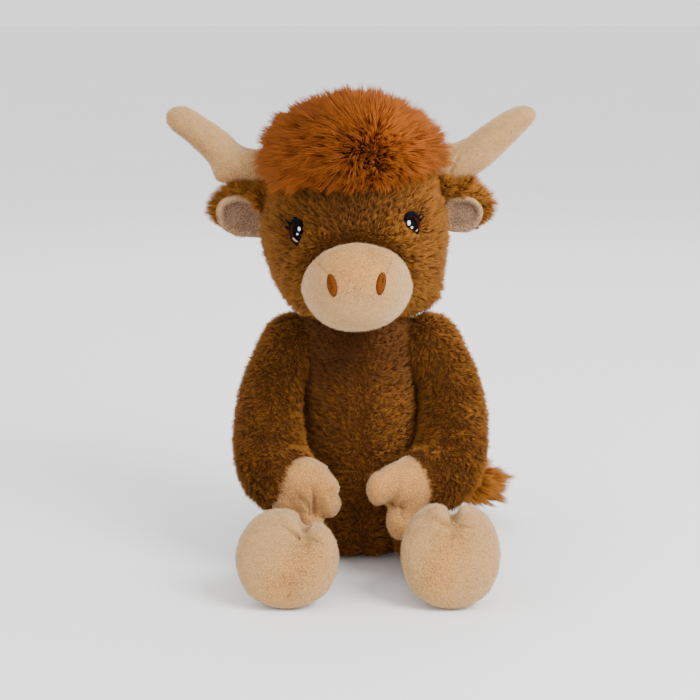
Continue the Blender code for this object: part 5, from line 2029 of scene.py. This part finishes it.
@dataclass
class Tail:
    """The plush stem of the tail and the long tuft at its end."""

    stuffing: Stuffing = Stuffing(voxel=1.8 * MM, cap=0.8 * MM, relax=4, fill=0.5)
    core_shares: tuple[float, float, float] = (0.66, 0.38, 0.38)
    core_voxel: float = 1.6 * MM

    def build(self) -> None:
        """Make the stem, the tuft's core and their pile."""
        stem = self.stuffing.form("tail_plush", ("tail_stem",))
        refine(stem)
        dress(stem, BODY_PILE.ground_material(), Slot.BODY, "tail", "tail_stem")
        Pile("tail_pile", BODY_PILE, steady(1.0, 0.2, -0.1), seed=71, length=6 * MM).grow(
            stem, Slot.BODY, "tail")
        core = node_copy("tail_tuft_core", ("tail_tuft",))
        remesh(core, self.core_voxel)
        low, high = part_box("tail_tuft")
        middle = (low + high) / 2
        root = np.array([low.x, middle.y, middle.z])
        points = read_points(core.data)
        write_points(core.data, root + (points - root) * np.array(self.core_shares))
        core.data.shade_smooth()
        dress(core, TAIL_PILE.ground_material(), Slot.LONG, "tail", "tail_tuft")

        def flow(spots: Points) -> Points:
            """Return the way of the tuft's strands, which fan out from its root."""
            return np.array([1.0, -0.1, -0.22]) + (spots - root) * 8

        Pile("tail_tuft_pile", TAIL_PILE, flow, seed=75, length=22 * MM, width=0.46 * MM,
             density=7.0, lean=math.radians(74), steps=2, tuft=2.2 * MM, pull=0.45, tuft_turn=0.10,
             uneven=0.24, jitter=0.12, ruffle=0.10, ruffle_size=40 * MM,
             droop=0.05).grow(core, Slot.LONG, "tail")


@dataclass(frozen=True)
class Lamp:
    """One soft area light: its place, its size in metres and its power in watts."""

    name: str
    place: tuple[float, float, float]
    size: float
    power: float


@dataclass
class Studio:
    """The pale floor, the soft lights and the camera."""

    sensor: float = 36.0
    floor_size: float = 80.0
    haze_size: float = 0.4
    floor_greys: tuple[Colour, Colour] = ((0.90, 0.90, 0.90), (0.94, 0.94, 0.94))
    world_strength: float = 1.5
    lamps: tuple[Lamp, ...] = (
        Lamp("key", (1.2, -1.0, 1.3), 1.0, 52), Lamp("fill", (-1.3, -1.0, 0.8), 1.3, 3),
        Lamp("rim", (0.0, 1.3, 1.4), 1.4, 10))

    def build(self) -> None:
        """Make the studio."""
        data = bpy.data.cameras.new("camera")
        data.sensor_width = self.sensor
        data.lens = SIGHT.focal_px / SIGHT.frame_px * self.sensor
        bpy.context.scene.camera = self._stand("camera", data, SIGHT.place)
        self._floor()
        for lamp in self.lamps:
            data = bpy.data.lights.new(lamp.name, "AREA")
            data.size = lamp.size
            data.energy = lamp.power
            self._stand(lamp.name, data, Vector(lamp.place))
        world = bpy.data.worlds.new("studio")
        world.use_nodes = True
        back = world.node_tree.nodes["Background"]
        back.inputs["Color"].default_value = (1, 1, 1, 1)
        back.inputs["Strength"].default_value = self.world_strength
        bpy.context.scene.world = world

    @staticmethod
    def _stand(name: str, data: bpy.types.ID, place: Vector) -> bpy.types.Object:
        """Put a camera or a light in its place, turned to the toy, and return it."""
        thing = bpy.data.objects.new(name, data)
        thing.location = place
        thing.rotation_euler = (Vector(SIGHT.aim) - place).to_track_quat("-Z", "Y").to_euler()
        bpy.context.scene.collection.objects.link(thing)
        return thing

    def _floor(self) -> None:
        """Make the pale floor."""
        deselect_all()
        bpy.ops.mesh.primitive_plane_add(size=self.floor_size, location=(0, 0, 0))
        floor = bpy.context.active_object
        floor.name = "floor"
        graph = Graph("pale_floor")
        colour = graph.blend(graph.noise(self.haze_size), *self.floor_greys)
        floor.data.materials.append(graph.finish(colour, Roughness=0.9, Specular_IOR_Level=0.1))


EYES = (
    Eye(Side.RIGHT,
        body_px=((291, 221), (293, 218.5), (295.5, 217), (299, 219), (302.5, 221), (303.5, 226),
                 (303.8, 231), (302.5, 236), (300.8, 240), (299.4, 243.5), (297.5, 245.3),
                 (294, 242), (291.5, 238), (290, 232), (289.7, 226)),
        lid_px=((292.2, 224), (293.4, 220.5), (296, 218.6), (299, 220.4), (301.6, 222)),
        lid_width_px=(0.8, 1.6, 2.0, 1.6, 0.8),
        iris_px=((295.9, 222), (293.8, 226), (292.9, 231), (293.4, 235), (295.2, 237.2)),
        iris_width_px=(1.2, 2.4, 2.8, 2.4, 1.2),
        glints_px=(((300.8, 228.8), 2.8, 4.4), ((299.0, 233.9), 2.2, 2.2)),
        cream_px=((294.4, 237.6), (296.4, 239.8), (299.0, 241.3)),
        cream_width_px=(1.0, 1.6, 0.9),
        lashes_px=(((292.0, 224.6), (289.8, 222.8), (287.8, 220.4)),
                   ((291.0, 229.0), (288.6, 227.8), (285.8, 226.4)))),
    Eye(Side.LEFT,
        body_px=((405, 214), (408, 211.8), (412, 211), (415.3, 212.6), (417.8, 216), (418.9, 220),
                 (419.1, 225), (418.6, 230), (417.4, 234.2), (416.2, 234), (414.4, 231.6),
                 (411, 230.4), (408, 228.4), (405, 225.5), (403.6, 222), (403.8, 218)),
        lid_px=((404.8, 217), (406.6, 214), (411, 212.6), (414.8, 214.4), (417.2, 218)),
        lid_width_px=(0.8, 1.6, 2.0, 1.6, 0.8),
        iris_px=((410.4, 215.6), (413.8, 217.8), (416.0, 222), (416.7, 226), (416.3, 230)),
        iris_width_px=(1.0, 2.0, 2.6, 2.4, 1.2),
        glints_px=(((407.4, 223.0), 3.3, 5.2), ((410.2, 227.5), 2.3, 2.5)),
        cream_px=((416.0, 229.4), (415.2, 230.6), (414.2, 231.2)),
        cream_width_px=(0.8, 1.3, 0.7),
        lashes_px=(((416.2, 217.6), (418.4, 215.2), (420.6, 212.4)),
                   ((418.0, 221.0), (420.0, 219.2), (422.8, 216.4)))),
)
NOSTRILS = (
    Nostril(Side.RIGHT, (332.2, 285.4), 8.4, 22.0, math.radians(-11)),
    Nostril(Side.LEFT, (381.0, 283.8), 8.0, 22.0, math.radians(9)),
)
HORNS = (
    Horn(Side.LEFT, shade=0.35,
         wrinkles_px=(((440, 160), (452, 152), (464, 144)), ((450, 172), (456, 160), (462, 150))),
         moves_px=(((531, 107), (534, 110)), ((520, 106), (520, 109)), ((500, 125), (500, 126)),
                   ((450, 147), (450, 144)), ((470, 160), (470, 161)))),
    Horn(Side.RIGHT, shade=0.9,
         wrinkles_px=(((262, 158), (248, 150), (236, 140)), ((252, 176), (244, 164), (238, 152))),
         moves_px=(((175, 119), (167, 117)), ((188, 114), (187, 111)), ((180, 128), (176, 128)),
                   ((205, 125), (205, 125)), ((240, 143), (239, 148)), ((224, 172), (218, 181)))),
)
EARS = (
    Ear(Side.LEFT,
        folds=(Lump((442, 184), -5.5, 8.0, 6.8, 11.0), Lump((458, 185), -3.0, 15.0, 5.4, 6.0, -0.45),
               Lump((462, 222), 0.8, 15.0, 3.2, 8.0, 0.15)),
        lining_px=((446, 199), (456, 196.5), (466, 195.5), (475, 198), (482, 205), (484, 213),
                   (481, 222), (475, 229), (464, 232), (452, 232.5), (446, 228), (444, 214))),
    Ear(Side.RIGHT,
        folds=(Lump((263, 196), -6.0, 9.0, 6.8, 12.0), Lump((246, 188), -3.5, 16.0, 5.4, 6.0, 0.15),
               Lump((247, 226), 0.8, 17.0, 3.2, 9.0, -0.25)),
        lining_px=((215, 213), (217, 203.5), (225, 196.5), (237, 193.5), (248, 196), (257, 202),
                   (265, 212), (267, 224), (265, 237), (252, 238), (237, 236), (225, 231.5),
                   (217.5, 223))),
)
ARMS = (
    Arm(Side.LEFT, shade=0.4,
        lobes=(Lump((379, 489), -88, 13.0, 14.0, 17.5), Lump((400, 523), -90, 14.0, 13.0, 18.0, -0.2)),
        moves_px=(((406, 457), (406, 456)), ((432, 480), (431, 482))),
        creases_px=((((388, 506), (402, 509), (423, 514)), 1.0, 4.5),
                    (((391, 504), (396, 496), (400, 480)), 2.4, 2.4),
                    (((396, 508), (401, 514), (407, 524)), 1.0, 2.2),
                    (((402, 506), (412, 500), (420, 492)), 2.4, 1.4)),
        rims_px=(((395, 463), (376, 473), (369, 483), (368, 492), (371, 501), (378, 505), (386, 504)),
                 ((388, 511), (388, 524), (391, 534), (400, 539)))),
    Arm(Side.RIGHT, shade=1.0,
        lobes=(Lump((326, 495), -86, 13.0, 16.0, 24.0, -0.27),
               Lump((312, 522), -90, 12.0, 13.0, 10.0, 0.3), Lump((288, 500), -79, 18.0, 19.0, 16.0)),
        moves_px=(((309, 457), (311, 458)), ((343, 486), (336, 486)), ((331, 471), (325, 470)),
                  ((340, 477), (332, 478)), ((340, 496), (341, 500))),
        creases_px=((((315, 514), (314, 500), (311, 484)), 1.3, 5.5),
                    (((313, 512), (303, 502), (292, 488)), 2.4, 3.0),
                    (((314, 515), (309, 521), (302, 530)), 0.9, 2.2),
                    (((316, 515), (313, 522), (308, 531)), 0.9, 2.0),
                    (((316, 514), (322, 518), (327, 520)), 1.0, 4.0),
                    (((312, 513), (302, 513), (290, 510)), 1.6, 1.2)),
        rims_px=(((313, 460), (324, 467), (332, 479), (338, 491), (339, 502), (335, 512), (328, 517)),
                 ((322, 519), (322, 526)))),
)
LEGS = (
    Leg(Side.LEFT,
        cleft_px=((453, 522), (454, 530), (452, 538)),
        creases_px=((((452, 526), (444, 525), (434, 520)), 1.0, 3.0),
                    (((455, 525), (465, 527), (475, 529)), 1.0, 2.8),
                    (((452, 529), (446, 542), (436, 556)), 3.2, 1.4),
                    (((455, 529), (462, 544), (468, 562)), 3.2, 1.4)),
        moves_px=(((437, 503), (437, 503)), ((469, 507), (470, 508))),
        lobes=(Lump((439, 514), -140.5, 11.5, 7.5, 8.5, 0.75),
               Lump((467, 517), -141, 11.0, 7.0, 8.0, 0.15)),
        notch=(Lump((453.5, 499), -122, 6.2, 52.0, 20.0),),
        rim_px=((424, 518), (411, 538), (407, 560), (409, 580), (418, 598), (434, 608)),
        stroke_px=((452, 540), (446, 560), (436, 578))),
    Leg(Side.RIGHT,
        cleft_px=((304, 533), (305, 540), (306, 547)),
        creases_px=((((300, 537), (290, 532), (279, 524)), 1.0, 3.4),
                    (((307, 538), (314, 541), (325, 547)), 1.0, 2.6),
                    (((304, 538), (306, 552), (310, 566)), 3.2, 1.5),
                    (((300, 539), (289, 546), (274, 550)), 3.0, 1.2)),
        moves_px=(((280, 511), (281, 512)), ((321, 521), (320, 528)), ((332, 535), (333, 538))),
        lobes=(Lump((290, 524), -142, 13.0, 7.5, 6.5, 0.62),
               Lump((317, 536), -143, 11.0, 6.5, 6.5, 0.45)),
        notch=(Lump((305.0, 510), -122, 6.2, 52.0, 22.0, -0.12),),
        rim_px=((328, 532), (333, 550), (334, 568), (329, 585), (318, 599), (304, 607)),
        stroke_px=((308, 552), (298, 566), (284, 586))),
)


def main() -> None:
    """Build the looks of the whole toy."""
    logging.basicConfig(level=logging.INFO, format="%(name)s: %(message)s")
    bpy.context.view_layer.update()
    Studio().build()
    neck_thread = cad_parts["neck_seam_thread"]
    neck_thread.data.materials.clear()
    neck_thread.data.materials.append(SEAM_THREAD.material())
    Torso().build()
    head = Head().build(EYES)
    Muzzle().build(NOSTRILS)
    Forelock().build(head)
    for pieces in zip(HORNS, EARS, ARMS, LEGS):
        for piece in pieces:
            piece.build()
    Tail().build()


if __name__ == "__main__":
    main()
